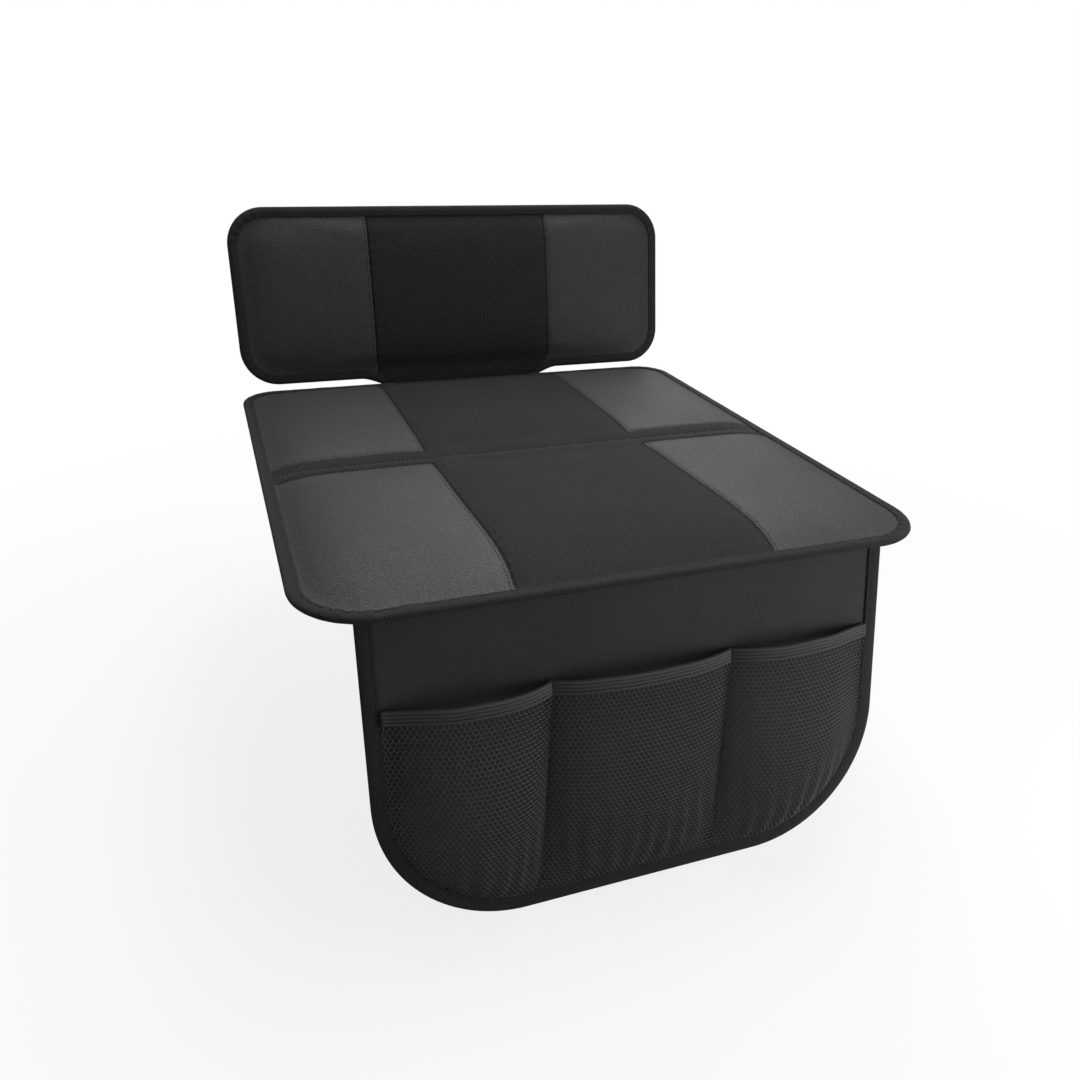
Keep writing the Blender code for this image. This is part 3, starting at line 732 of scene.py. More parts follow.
MIDDLE_DARK = (0.006, 0.006, 0.007)
MIDDLE_LIGHT = (0.050, 0.050, 0.053)
MIDDLE_FABRIC = weave_look("middle_fabric", MIDDLE_DARK, MIDDLE_LIGHT, WEAVE_PITCH, 0.00035, 0.80)
middle = cover(
    "seat_middle_fabric",
    seat_columns,
    seat_rows,
    seat_face,
    [(-SEAM_X, SEAM_X, -FAR, FAR), (-FAR, FAR, FOLD_FRONT, FOLD_REAR)],
)
dressed(middle, MIDDLE_FABRIC, "middle_fabric", "seat_middle_panel")
back_middle = cover(
    "back_middle_fabric",
    [x for x in back_columns if abs(x) < SEAM_X],
    back_rows,
    back_face,
    [(-SEAM_X, SEAM_X, -FAR, FAR)],
    BACK_PLACE,
)
dressed(back_middle, MIDDLE_FABRIC, "middle_fabric", "back_middle_panel")


# Linings. Plain black woven cloth closes the underside of the seat pad and the rear of the back pad,
# and bulges a little between the bindings because the filling presses on it from inside.
LINING_BULGE_SEAT = 0.0009
LINING_BULGE_BACK = 0.0030
LINING_THICKNESS = 0.0006
LINING_STEP = 0.006
SEAT_BULGE_REACH = 0.02
BACK_BULGE_REACH = 0.022
FLANGE_END = 0.036
FLANGE_EASE = 0.03
LINING_UNEVEN = 0.0005
LINING_DARK = (0.012, 0.012, 0.013)
LINING_LIGHT = (0.040, 0.040, 0.043)


def seat_underside(x, y):
    """A point of the seat pad's lining, flat over the skirt's flange."""
    x, y = hold_seat(x, y)
    side, end = seat_room(x, y, SEAT_FRONT_CORNER)
    behind_flange = smooth((y + SEAT_HALF_DEPTH - FLANGE_END) / FLANGE_EASE)
    full = swell(side, SEAT_BULGE_REACH) * swell(end, SEAT_BULGE_REACH) * behind_flange
    return x, y, LINING_THICKNESS - LINING_BULGE_SEAT * full


def back_rear(x, y):
    """A point of the back pad's lining, in its flat frame."""
    x, y = hold_back(x, y)
    side, end = back_room(x, y)
    full = swell(side, BACK_BULGE_REACH) * swell(end, BACK_BULGE_REACH)
    bulge = LINING_BULGE_BACK - LINING_UNEVEN * uneven(x, y, 15.0)
    return x, y, LINING_THICKNESS - bulge * full


LINING_CLOTH = weave_look("lining_cloth", LINING_DARK, LINING_LIGHT, 0.0013, 0.00020, 0.88)
seat_lining = cover(
    "seat_lining_cloth",
    lines(-SEAT_HALF_WIDTH, SEAT_HALF_WIDTH, LINING_STEP),
    lines(-SEAT_HALF_DEPTH, SEAT_HALF_DEPTH, LINING_STEP),
    seat_underside,
    [(-FAR, FAR, -FAR, FAR)],
    thickness=LINING_THICKNESS,
)
dressed(seat_lining, LINING_CLOTH, "lining_cloth", "seat_lining")
back_lining = cover(
    "back_lining_cloth",
    lines(-BACK_HALF_WIDTH, BACK_HALF_WIDTH, LINING_STEP),
    lines(-NECK_TURN, BACK_HEIGHT, LINING_STEP),
    back_rear,
    [(-FAR, FAR, -FAR, FAR)],
    BACK_PLACE,
    LINING_THICKNESS,
)
dressed(back_lining, LINING_CLOTH, "lining_cloth", "back_lining")


# Bindings of the two pads. Herringbone tape folded over the raw edges and sewn through with one row
# of stitching near its inner edge. On the back it runs down into the narrow neck at both sides.
RIM = 0.0029
TAPE = 0.0008
TAPE_STEP = 0.0011
TAPE_TURN = 0.0048
TAPE_RIB = 0.0021
TAPE_RIPPLE = 0.0004
TAPE_TAPER = 0.022
NECK_TAPE_SHARE = 0.3
TAPE_FREE_FROM = 0.004
TAPE_GATHER = 0.00045
GATHER_GAIN = 14.0
GATHER_PITCH = 0.0105
TAPE_DARK = (0.006, 0.006, 0.005)
TAPE_LIGHT = (0.062, 0.062, 0.054)
TAPE_SHADE = (0.016, 0.016, 0.014)
ARC_STEP = 0.002
STITCH_FROM_EDGE = 0.0018
STITCH_PITCH = 0.0034
STITCH_LENGTH = 0.0024
THREAD = 0.00040
STITCH_SIDES = 6
# Each ring of a stitch: its place along it, its width and its height.
STITCH_RINGS = (
    (-0.50, 0.15, -1.30),
    (-0.38, 0.80, -0.20),
    (0.00, 1.00, 0.35),
    (0.38, 0.80, -0.20),
    (0.50, 0.15, -1.30),
)


def arc(centre_x, centre_y, radius, start, end):
    """Points round an arc from one angle to another, in degrees."""
    count = max(round(abs(math.radians(end - start)) * radius / ARC_STEP), 2)
    angles = [math.radians(start + (end - start) * index / count) for index in range(count + 1)]
    return [Vector((centre_x + radius * math.cos(a), centre_y + radius * math.sin(a))) for a in angles]


def lengths_along(route):
    """How far along a line each of its points is."""
    lengths = [0.0]
    for first, second in zip(route, route[1:]):
        lengths.append(lengths[-1] + (second - first).length)
    return lengths


def resampled(route):
    """The same line with its points one tape step apart."""
    lengths = lengths_along(route)
    count = max(round(lengths[-1] / TAPE_STEP), 2)
    found = []
    index = 0
    for number in range(count + 1):
        wanted = lengths[-1] * number / count
        while index < len(route) - 2 and lengths[index + 1] < wanted:
            index += 1
        share = (wanted - lengths[index]) / max(lengths[index + 1] - lengths[index], 1e-9)
        found.append(route[index].lerp(route[index + 1], min(share, 1.0)))
    return found


def inward_at(route, index):
    """The way in from a flat route at one of its points, square to it."""
    ahead = (route[min(index + 1, len(route) - 1)] - route[max(index - 1, 0)]).normalized()
    return Vector((-ahead.y, ahead.x))


def tube(shape, rings):
    """Joins rings of vertices into a tube with closed ends. Returns its side faces in order."""
    sides = []
    for here, there in zip(rings, rings[1:]):
        for k in range(len(here)):
            after = (k + 1) % len(here)
            sides.append(shape.faces.new((here[k], there[k], there[after], here[after])))
    shape.faces.new(rings[0])
    shape.faces.new(rings[-1][::-1])
    return sides


def taped(name, shape, rings, runs, girth, matrix):
    """Adds a tape made of rings. Its place on the flat cloth is the run along it and the girth round it."""
    cloth = shape.loops.layers.uv.new("cloth")
    sides = iter(tube(shape, rings))
    for here, there in zip(runs, runs[1:]):
        for near, far in zip(girth, girth[1:]):
            corners = ((here, near), (there, near), (there, far), (here, far))
            for loop, corner in zip(next(sides).loops, corners):
                loop[cloth].uv = corner
    bmesh.ops.recalc_face_normals(shape, faces=shape.faces)
    return added(name, shape, matrix)


def swept(name, route, profile, ripple, seed, matrix=None, end_share=1.0):
    """Tape along a flat route. The profile is a loop of (distance in from the edge, height) points.

    It ripples a little, gathers where the route turns, and narrows to the end share at both ends.
    """
    shape = bmesh.new()
    runs = lengths_along(route)
    halfway_up = (profile[0][1] + profile[-1][1]) / 2
    rings = []
    for index, (point, run) in enumerate(zip(route, runs)):
        inward = inward_at(route, index)
        turning = 0.0
        if 2 < index < len(route) - 3:
            turning = (route[index + 3] - point).normalized().cross((point - route[index - 3]).normalized())
        gather = min(abs(turning) * GATHER_GAIN, 1.0) * TAPE_GATHER
        gather *= math.sin(run * 2 * math.pi / GATHER_PITCH)
        narrow = end_share + (1.0 - end_share) * smooth(min(run, runs[-1] - run) / TAPE_TAPER)
        ring = []
        for inset, height in profile:
            free = min(abs(inset) / TAPE_FREE_FROM, 1.0)
            side = 1.0 if height > halfway_up else -1.0
            lift = ripple * noise.noise(Vector((run * 60, seed + side * 3, 0.0))) + gather * side * 0.6
            shift = ripple * noise.noise(Vector((run * 45, seed + 9, 1.0))) + gather * 0.4
            flat = point + inward * (inset * narrow + shift * free)
            ring.append(shape.verts.new((*flat, height + lift * free)))
        rings.append(ring)
    girth = lengths_along([Vector(spot) for spot in profile + profile[:1]])
    return taped(name, shape, rings, runs, girth, matrix)


def pad_tape_profile():
    """Section of the tape folded over a pad's edge, nipped where it is sewn."""
    wide = PAD_TAPE_WIDTH
    bite = wide - STITCH_FROM_EDGE
    top = RIM + PAD_EDGE
    low = -PAD_EDGE
    outer = [
        (wide, top - 0.0002), (wide - 0.0006, top + 0.0001), (bite, top - 0.00030), (bite - 0.0012, top),
        (0.0045, top + 0.00015), (0.0026, top), (0.0012, top - 0.0005), (0.0004, top - 0.0014),
        (0.0, RIM / 2), (0.0004, low + 0.0014), (0.0012, low + 0.0005), (0.0026, low),
        (0.0045, low - 0.0001), (bite, low + 0.00025), (wide, low),
    ]
    lower, upper = low + TAPE, top - TAPE
    return outer + [(wide, lower), (0.0018, lower), (TAPE, RIM / 2), (0.0018, upper), (wide, upper)]


def stitches(name, rows, pitch, length, thickness, matrix=None):
    """Rows of short raised stitches. Each row is a list of (point, direction up) along its line."""
    shape = bmesh.new()
    turns = [2 * math.pi * k / STITCH_SIDES for k in range(STITCH_SIDES)]
    for row in rows:
        travelled = 0.0
        due = pitch / 2
        for (first, up), (second, _) in zip(row, row[1:]):
            span = (second - first).length
            if span < 1e-9:
                continue
            ahead = (second - first) / span
            across = ahead.cross(up).normalized()
            rise = across.cross(ahead).normalized()
            while due <= travelled + span:
                rings = []
                for spot, width, lift in STITCH_RINGS:
                    heart = first + ahead * (due - travelled + spot * length) + rise * lift * thickness
                    wide, high = across * thickness * width, rise * thickness * 0.8 * width
                    ring = [heart + wide * math.cos(turn) + high * math.sin(turn) for turn in turns]
                    rings.append([shape.verts.new(point) for point in ring])
                tube(shape, rings)
                due += pitch
            travelled += span
    bmesh.ops.recalc_face_normals(shape, faces=shape.faces)
    return added(name, shape, matrix)


def tape_look():
    """Herringbone tape: diagonal ribs that turn about every few millimetres across the width."""
    made, tree, shader = shader_of("binding_tape")
    cloth, run, girth = cloth_place(tree)
    folded = maths(tree, "PINGPONG", girth, TAPE_TURN)
    wander = noise_at(tree, cloth, 300.0)
    turns = 2 * math.pi / TAPE_RIB
    slanted = weighed(tree, (run, turns), (folded, 1.1 * turns), (wander, 1.5))
    raised = ramped(tree, maths(tree, "SINE", slanted), -1.0, 1.0)
    fuzz = noise_at(tree, cloth, 2600.0)
    broad = noise_at(tree, cloth, 30.0, 3.0)
    tone = blend_of(tree, weighed(tree, (raised, 0.6), (fuzz, 0.45)), TAPE_DARK, TAPE_LIGHT)
    tone = blend_of(tree, maths(tree, "MULTIPLY", broad, 0.4), tone, TAPE_SHADE)
    finished(tree, shader, tone, 0.78, 0.25, 0.04)
    shader.inputs["Sheen Roughness"].default_value = 0.45
    bumped(tree, shader, raised, 0.00055)
    bumped(tree, shader, fuzz, 0.00004)
    return made


def thread_look(name, dark, light):
    """Twisted sewing thread."""
    made, tree, shader = shader_of(name)
    twist = noise_at(tree, own_place(tree), 3000.0, 1.0)
    finished(tree, shader, blend_of(tree, twist, dark, light), 0.55)
    bumped(tree, shader, twist, 0.00006)
    return made


BINDING_TAPE = tape_look()
THREAD_LOOK = thread_look("sewing_thread", (0.006, 0.006, 0.006), (0.022, 0.022, 0.020))


def seat_tape_route():
    """The seat pad's edge, from one side of the neck round the front to the other."""
    rear_x, rear_y = SEAT_HALF_WIDTH - SEAT_REAR_CORNER, SEAT_HALF_DEPTH - SEAT_REAR_CORNER
    front_x, front_y = SEAT_HALF_WIDTH - SEAT_FRONT_CORNER, SEAT_HALF_DEPTH - SEAT_FRONT_CORNER
    route = [
        Vector((-NECK_HALF, SEAT_HALF_DEPTH)),
        *arc(-rear_x, rear_y, SEAT_REAR_CORNER, 90, 180),
        *arc(-front_x, -front_y, SEAT_FRONT_CORNER, 180, 270),
        *arc(front_x, -front_y, SEAT_FRONT_CORNER, 270, 360),
        *arc(rear_x, rear_y, SEAT_REAR_CORNER, 0, 90),
        Vector((NECK_HALF, SEAT_HALF_DEPTH)),
    ]
    return resampled(route)


def neck_sweep(side):
    """The back's lower edge dips as it nears the neck, where it is sewn to the seat: outwards in."""
    places = [side * (NECK_HALF + NECK_FLARE * step / 12) - BACK_FOOT[0] for step in range(13)]
    return [Vector((x, -neck_dip(x))) for x in places]


def back_tape_route():
    """The back pad's edge, from one side of the neck over the top to the other."""
    low, high = BACK_CORNER, BACK_HEIGHT - BACK_CORNER
    right, left = BACK_HALF_WIDTH - BACK_CORNER, BACK_CORNER - BACK_HALF_WIDTH
    route = [
        *neck_sweep(1),
        *arc(right, low, BACK_CORNER, -90, 0),
        *arc(right, high, BACK_CORNER, 0, 90),
        *arc(left, high, BACK_CORNER, 90, 180),
        *arc(left, low, BACK_CORNER, 180, 270),
        *reversed(neck_sweep(-1)),
    ]
    return resampled(route)


def beside(route, inset, height):
    """The line that runs this far in from a route, at this height, with its direction up."""
    flat = [point + inward_at(route, index) * inset for index, point in enumerate(route)]
    return [(Vector((*point, height)), UP) for point in flat]


seat_route = seat_tape_route()
back_route = back_tape_route()
seat_tape = swept("seat_binding_tape", seat_route, pad_tape_profile(), TAPE_RIPPLE, 2.0)
back_tape = swept(
    "back_binding_tape", back_route, pad_tape_profile(), TAPE_RIPPLE, 4.0, BACK_PLACE, NECK_TAPE_SHARE
)
dressed(seat_tape, BINDING_TAPE, "binding_tape", "seat_binding")
dressed(back_tape, BINDING_TAPE, "binding_tape", "back_binding")
stitch_inset = PAD_TAPE_WIDTH - STITCH_FROM_EDGE
tape_top = RIM + PAD_EDGE - 0.0002
for sewn_name, route, place in (
    ("seat_binding_stitching", seat_route, None),
    ("back_binding_stitching", back_route, BACK_PLACE),
):
    row = beside(route, stitch_inset, tape_top)
    sewn = stitches(sewn_name, [row], STITCH_PITCH, STITCH_LENGTH, THREAD, place)
    dressed(sewn, THREAD_LOOK, "binding_tape")


# Topstitching of the covers. A row of small stitches in dark thread runs beside each seam on the
# leatherette, and one row runs across the fold, sewn right through to the lining.
TOP_PITCH = 0.0036
FOLD_STITCH = 0.0024
TOP_STITCH = 0.0025
TOP_THREAD = 0.00056
# The fold's row is sewn with the same dark sewing thread as the rest, painted lighter here: a painted
# highlight for the light its raised stitches catch in the groove.
FOLD_THREAD_DARK = (0.060, 0.060, 0.060)
FOLD_THREAD_PAINTED_HIGHLIGHT = (0.160, 0.160, 0.157)
ROW_STEP = 0.002
PROBE = 0.001


def on_cover(face, start, end):
    """A straight line of the flat cover, laid on it as it lies, with its direction up."""
    start, end = Vector(start), Vector(end)
    count = max(round((end - start).length / ROW_STEP), 2)
    found = []
    for index in range(count + 1):
        x, y = start.lerp(end, index / count)
        here = Vector(face(x, y))
        across = Vector(face(x + PROBE, y)) - here
        along = Vector(face(x, y + PROBE)) - here
        found.append((here, across.cross(along).normalized()))
    return found


# A lit copy of the sewing thread: painted highlight on the fold's stitches.
FOLD_THREAD_PAINTED_LIT = thread_look("fold_thread_painted_highlight", FOLD_THREAD_DARK, FOLD_THREAD_PAINTED_HIGHLIGHT)
fold_end = SEAT_HALF_WIDTH - PAD_TAPE_WIDTH - 0.001
fold_row = on_cover(seat_face, (-fold_end, 0.0), (fold_end, 0.0))
fold_sewing = stitches("fold_stitching", [fold_row], TOP_PITCH, FOLD_STITCH, TOP_THREAD)
dressed(fold_sewing, FOLD_THREAD_PAINTED_LIT, "middle_fabric")
seat_end = SEAT_HALF_DEPTH - PAD_TAPE_WIDTH
front_row, rear_row = FOLD_FRONT - TOPSTITCH_AT, FOLD_REAR + TOPSTITCH_AT
seat_sewn = []
back_sewn = []
for side in (-1, 1):
    x = side * (SEAM_X + TOPSTITCH_AT)
    seat_sewn.append(on_cover(seat_face, (x, -seat_end), (x, front_row)))
    seat_sewn.append(on_cover(seat_face, (x, rear_row), (x, seat_end)))
    seat_sewn.append(on_cover(seat_face, (x, front_row), (side * fold_end, front_row)))
    seat_sewn.append(on_cover(seat_face, (x, rear_row), (side * fold_end, rear_row)))
    back_sewn.append(on_cover(back_face, (x, PAD_TAPE_WIDTH), (x, BACK_HEIGHT - PAD_TAPE_WIDTH)))
for sewn_name, rows_sewn, place in (
    ("seat_topstitching", seat_sewn, None),
    ("back_topstitching", back_sewn, BACK_PLACE),
):
    sewn = stitches(sewn_name, rows_sewn, TOP_PITCH, TOP_STITCH, TOP_THREAD, place)
    dressed(sewn, THREAD_LOOK, "grained_leatherette")


# Joining strip. The middle fabric and the lining run on without filling from the seat pad up into the
# back pad, and this thin strip bends between them, with a crease along the bend.
STRIP_HALF = 0.0745
STRIP_BEND = 0.0030
STRIP_START_Y = SEAT_HALF_DEPTH - 0.010
STRIP_REACH_UP = 0.010
STRIP_THICKNESS = 0.0012
STRIP_CRUMPLE = 0.0005
STRIP_STEP = 0.0015
STRIP_COLUMN = 0.003
BEND_STEPS = 8


def strip_line():
    """Side view of the strip's middle, from on the seat pad, round the bend and up the back pad."""
    centre_y = SEAT_HALF_DEPTH - TAPE + 0.0005
    centre_z = RIM / 2 + STRIP_BEND
    found = [Vector((STRIP_START_Y + STRIP_STEP * index, RIM / 2 + 0.0002)) for index in range(6)]
    for index in range(BEND_STEPS + 1):
        angle = -math.pi / 2 + TURN_UP * index / BEND_STEPS
        bend = Vector((math.cos(angle), math.sin(angle))) * STRIP_BEND
        found.append(Vector((centre_y, centre_z)) + bend)
    last = found[-1]
    length = (BACK_FOOT[2] + STRIP_REACH_UP - last.y) / math.cos(LEAN)
    up = Vector((math.sin(LEAN), math.cos(LEAN))) * length
    return found + [last + up * index / BEND_STEPS for index in range(1, BEND_STEPS + 1)]


def joining_strip():
    """The strip's side view drawn out across its width, slightly crumpled."""
    side_view = strip_line()
    up_to = lengths_along(side_view)
    shape = grid(lines(-STRIP_HALF, STRIP_HALF, STRIP_COLUMN), range(len(side_view)))
    spots = {}
    for vertex in shape.verts:
        x, row = vertex.co.x, round(vertex.co.y)
        crumple = STRIP_CRUMPLE * noise.noise(Vector((x * 90, row * 0.4, 2.0)))
        vertex.co = (x, side_view[row].x - crumple, side_view[row].y + crumple)
        spots[vertex] = (x, up_to[row])
    laid_flat(shape, spots)
    return thickened(added("joining_strip_fabric", shape), STRIP_THICKNESS, 0.0)


strip = dressed(joining_strip(), MIDDLE_FABRIC, "middle_fabric", "hinge_strip")


# Skirt. Heavy twill hangs from a flange sewn under the front of the seat pad, bends down over the
# front of the car seat and ends in two wide rounded corners. It hangs with shallow waves.
SKIRT_HALF = 0.191
SKIRT_DROP = 0.2275
SKIRT_CORNER = 0.101
SKIRT_SHIFT = -0.004
SKIRT_SET_BACK = 0.0115
SKIRT_CLOTH = 0.0010
SKIRT_BEND = 0.0030
SKIRT_FLANGE = 0.020
SKIRT_EDGE = 0.0011
SKIRT_TAPE_WIDTH = 0.0110
SKIRT_WAVE = 0.0012
WAVE_EASE = 0.03
SKIRT_RIPPLE = 0.0003
SKIRT_STEP = 0.004
FLANGE_STEP = 0.005
BEND_STEP = 0.0006
TWILL_PITCH = 0.0024
TWILL_RELIEF = 0.00042
TWILL_DARK = (0.012, 0.012, 0.011)
TWILL_LIGHT = (0.105, 0.105, 0.100)
skirt_top_z = -FACE_GAP - SKIRT_CLOTH / 2 - SKIRT_BEND + SKIRT_BEND * math.sin(LEAN)
SKIRT_PLACE = Matrix.Translation((SKIRT_SHIFT, -SEAT_HALF_DEPTH + SKIRT_SET_BACK, skirt_top_z)) @ UPRIGHT


def skirt_spot(run):
    """(up, out) of the skirt's middle at this distance down from its bend, negative round it and back."""
    if run >= 0.0:
        return -run, 0.0
    angle = min(-run / SKIRT_BEND, TURN_UP)
    up, out = SKIRT_BEND * math.sin(angle), -SKIRT_BEND + SKIRT_BEND * math.cos(angle)
    rest = max(-run - SKIRT_BEND * TURN_UP, 0.0)
    return up + rest * math.cos(TURN_UP), out - rest * math.sin(TURN_UP)


def skirt_wave(x, drop):
    """The cloth sways back a little between its bindings, never forward into the pockets."""
    room = min(SKIRT_HALF - SKIRT_TAPE_WIDTH - abs(x), drop, SKIRT_DROP - SKIRT_TAPE_WIDTH - drop)
    broad = 0.5 + 0.5 * noise.noise(Vector((x * 17 + 4, drop * 7, 6.0)))
    wave = broad + 0.2 * noise.noise(Vector((x * 55, drop * 30, 1.0)))
    return -SKIRT_WAVE * max(wave, 0.0) * smooth(room / WAVE_EASE)


def twill_look():
    """Heavy twill: fine diagonal ribs, crossed by thinner threads."""
    made, tree, shader = shader_of("skirt_twill")
    cloth, across, along = cloth_place(tree)
    wander = noise_at(tree, cloth, 240.0)
    turns = 2 * math.pi / TWILL_PITCH
    slanted = maths(tree, "SINE", weighed(tree, (across, turns), (along, turns), (wander, 1.8)))
    crossing = maths(tree, "SINE", weighed(tree, (across, 2 * turns), (along, -2 * turns)))
    ribs = ramped(tree, slanted, -1.0, 1.0)
    threads = ramped(tree, crossing, -1.0, 1.0)
    raised = weighed(tree, (ribs, 0.7), (threads, 0.3))
    fuzz = noise_at(tree, cloth, 2200.0)
    broad = noise_at(tree, cloth, 14.0, 3.0)
    tone = blend_of(tree, weighed(tree, (raised, 0.6), (fuzz, 0.5)), TWILL_DARK, TWILL_LIGHT)
    tone = blend_of(tree, maths(tree, "MULTIPLY", broad, 0.45), tone, TWILL_DARK)
    finished(tree, shader, tone, 0.8, 0.28, 0.04)
    bumped(tree, shader, raised, TWILL_RELIEF)
    bumped(tree, shader, fuzz, TWILL_RELIEF * 0.3)
    return made


def skirt_hold(x, run):
    """The point, or the nearest on the rounded lower corners if it lies outside them."""
    corner = SKIRT_CORNER - SKIRT_EDGE
    inner_x, inner_run = SKIRT_HALF - SKIRT_CORNER, SKIRT_DROP - SKIRT_CORNER
    across = abs(x) - inner_x
    down = run - inner_run
    if across > 0.0 and down > 0.0 and math.hypot(across, down) > corner:
        scale = corner / math.hypot(across, down)
        return math.copysign(inner_x + across * scale, x), inner_run + down * scale
    return x, run


def skirt_sheet():
    """The flange, the bend and the hanging cloth in one sheet, trimmed to its rounded corners."""
    half, drop, bend = SKIRT_HALF - SKIRT_EDGE, SKIRT_DROP - SKIRT_EDGE, SKIRT_BEND * TURN_UP
    flange_rows = lines(-SKIRT_FLANGE - bend, -bend, FLANGE_STEP)
    bend_rows = lines(-bend, 0.0, BEND_STEP)
    hanging_rows = lines(0.0, drop, SKIRT_STEP)
    rows = sorted({*flange_rows, *bend_rows, *hanging_rows})
    shape = grid(lines(-half, half, SKIRT_STEP), rows)
    outside = []
    for face in shape.faces:
        if all(skirt_hold(*vertex.co.xy) != tuple(vertex.co.xy) for vertex in face.verts):
            outside.append(face)
    bmesh.ops.delete(shape, geom=outside, context="FACES")
    spots = {}
    for vertex in shape.verts:
        x, run = skirt_hold(*vertex.co.xy)
        spots[vertex] = (x, run)
        up, out = skirt_spot(run)
        vertex.co = (x, up, out + (skirt_wave(x, run) if run > 0 else 0.0))
    laid_flat(shape, spots)
    return thickened(added("skirt_cloth", shape, SKIRT_PLACE), SKIRT_CLOTH, 0.0)


skirt = dressed(skirt_sheet(), twill_look(), "skirt_twill", "skirt_panel")


def skirt_tape_profile():
    """Section of the wider tape folded over the skirt's edge."""
    wide = SKIRT_TAPE_WIDTH
    bite = wide - STITCH_FROM_EDGE
    half = SKIRT_CLOTH / 2 + SKIRT_EDGE
    outer = [
        (wide, half - 0.0002), (wide - 0.0006, half + 0.0001), (bite, half - 0.0003), (bite - 0.0012, half),
        (0.005, half + 0.0001), (0.0022, half), (0.0010, half - 0.0004), (0.0003, half - 0.0010),
        (0.0, 0.0), (0.0003, 0.0010 - half), (0.0010, 0.0004 - half), (0.0022, -half),
        (0.005, -half), (bite, 0.00025 - half), (wide, -half),
    ]
    inner = half - TAPE
    return outer + [(wide, -inner), (0.0016, -inner), (TAPE, 0.0), (0.0016, inner), (wide, inner)]


def skirt_tape_route():
    """The skirt's edge, down one side, along the bottom and up the other."""
    x, y = SKIRT_HALF - SKIRT_CORNER, SKIRT_DROP - SKIRT_CORNER
    route = [
        Vector((-SKIRT_HALF, 0.0)),
        *arc(-x, -y, SKIRT_CORNER, 180, 270),
        *arc(x, -y, SKIRT_CORNER, 270, 360),
        Vector((SKIRT_HALF, 0.0)),
    ]
    return resampled(route)


skirt_route = skirt_tape_route()
skirt_tape = swept("skirt_binding_tape", skirt_route, skirt_tape_profile(), SKIRT_RIPPLE, 7.0, SKIRT_PLACE)
dressed(skirt_tape, BINDING_TAPE, "binding_tape", "skirt_binding")
row = beside(skirt_route, SKIRT_TAPE_WIDTH - STITCH_FROM_EDGE, SKIRT_CLOTH / 2 + SKIRT_EDGE - 0.0002)
sewn = stitches("skirt_binding_stitching", [row], STITCH_PITCH, STITCH_LENGTH, THREAD, SKIRT_PLACE)
dressed(sewn, THREAD_LOOK, "binding_tape")


# Pockets. Three pieces of knitted net with six-sided gaps, sewn into the skirt's binding and down
# between each other, and gathered so that each stands open in front of the skirt.
POCKET_TOP = 0.060
POCKET_TAPE_WIDTH = 0.010
ELASTIC_RIBS = 4
ELASTIC_RIB = POCKET_TAPE_WIDTH / ELASTIC_RIBS
ELASTIC = 0.0009
ELASTIC_STEP = 0.0015
ELASTIC_SWAY = 0.0006
DIVIDER = 0.067
DIVIDER_DRIFT = 0.013
NET = 0.0008
NET_BOTTOM = SKIRT_DROP - SKIRT_TAPE_WIDTH - FACE_GAP
NET_HALF = SKIRT_HALF - SKIRT_TAPE_WIDTH - FACE_GAP
NET_CORNER = SKIRT_CORNER - SKIRT_TAPE_WIDTH - FACE_GAP
NET_LOW = SKIRT_CLOTH / 2 + FACE_GAP
TAPE_LIFT = 0.0011
PLEAT = 0.0064
PLEAT_PITCH = 0.0135
PLEAT_FROM = 0.135
PLEAT_EASE = 0.05
NET_SIDE_REACH = 0.22
NET_RIM_REACH = 0.024
BELLY_EASE = 0.09
TAPE_EASE = 0.016
NET_PITCH = 0.0035
NET_CORD = 0.00074
NET_DARK = (0.026, 0.026, 0.025)
NET_LIGHT = (0.140, 0.142, 0.135)
# The elastic's dark tone is its own yarn and also painted shade in the valleys between its ribs.
ELASTIC_DARK_WITH_VALLEY_SHADE = (0.018, 0.019, 0.017)
ELASTIC_LIGHT = (0.105, 0.109, 0.099)
ELASTIC_SHADE = (0.050, 0.053, 0.048)
# Each pocket: its two dividers, and how far its mouth and its belly stand out.
POCKETS = {
    "left": (None, -DIVIDER, 0.017, 0.030),
    "middle": (-DIVIDER, DIVIDER, 0.013, 0.020),
    "right": (DIVIDER, None, 0.013, 0.027),
}


def divider_at(x, drop):
    """Where the seam between two pockets has drifted to, this far down the skirt."""
    start = POCKET_TOP + POCKET_TAPE_WIDTH
    return x - DIVIDER_DRIFT * max(drop - start, 0.0) / (NET_BOTTOM - start)


def pocket_sides(pocket, drop):
    """The two sides of a pocket, this far down the skirt."""
    left, right = pocket[:2]
    left = -NET_HALF if left is None else divider_at(left, drop) + NEAR_SEAM
    right = NET_HALF if right is None else divider_at(right, drop) - NEAR_SEAM
    return left, right


def inside_outline(x, drop):
    """How far a point lies inside the skirt's binding."""
    across = abs(x) - (NET_HALF - NET_CORNER)
    down = drop - (NET_BOTTOM - NET_CORNER)
    if across > 0.0 and down > 0.0:
        return NET_CORNER - math.hypot(across, down)
    return NET_CORNER - max(across, down)


def net_height(pocket, x, drop):
    """Height of the net's rear face in front of the skirt's middle plane."""
    mouth, belly = pocket[2:]
    start = POCKET_TOP + POCKET_TAPE_WIDTH
    drop = max(drop, start)
    left, right = pocket_sides(pocket, drop)
    reach = (right - left) * NET_SIDE_REACH
    filled = swell(x - left, reach) * swell(right - x, reach) * swell(inside_outline(x, drop), NET_RIM_REACH)
    full = filled / swell((right - left) / 2, reach) ** 2
    depth = mouth + (belly - mouth) * smooth((drop - POCKET_TOP) / BELLY_EASE)
    lift = TAPE_LIFT * (1.0 - smooth((drop - start) / TAPE_EASE))
    wander = 2.5 * noise.noise(Vector((x * 30, drop * 12, mouth * 100)))
    folds = 0.5 + 0.5 * math.sin(2 * math.pi * x / PLEAT_PITCH + wander)
    gathered = smooth((drop - PLEAT_FROM) / PLEAT_EASE) * min(full, 1.0) * (1.2 - min(full, 1.0))
    return NET_LOW + lift + depth * full - PLEAT * folds * gathered


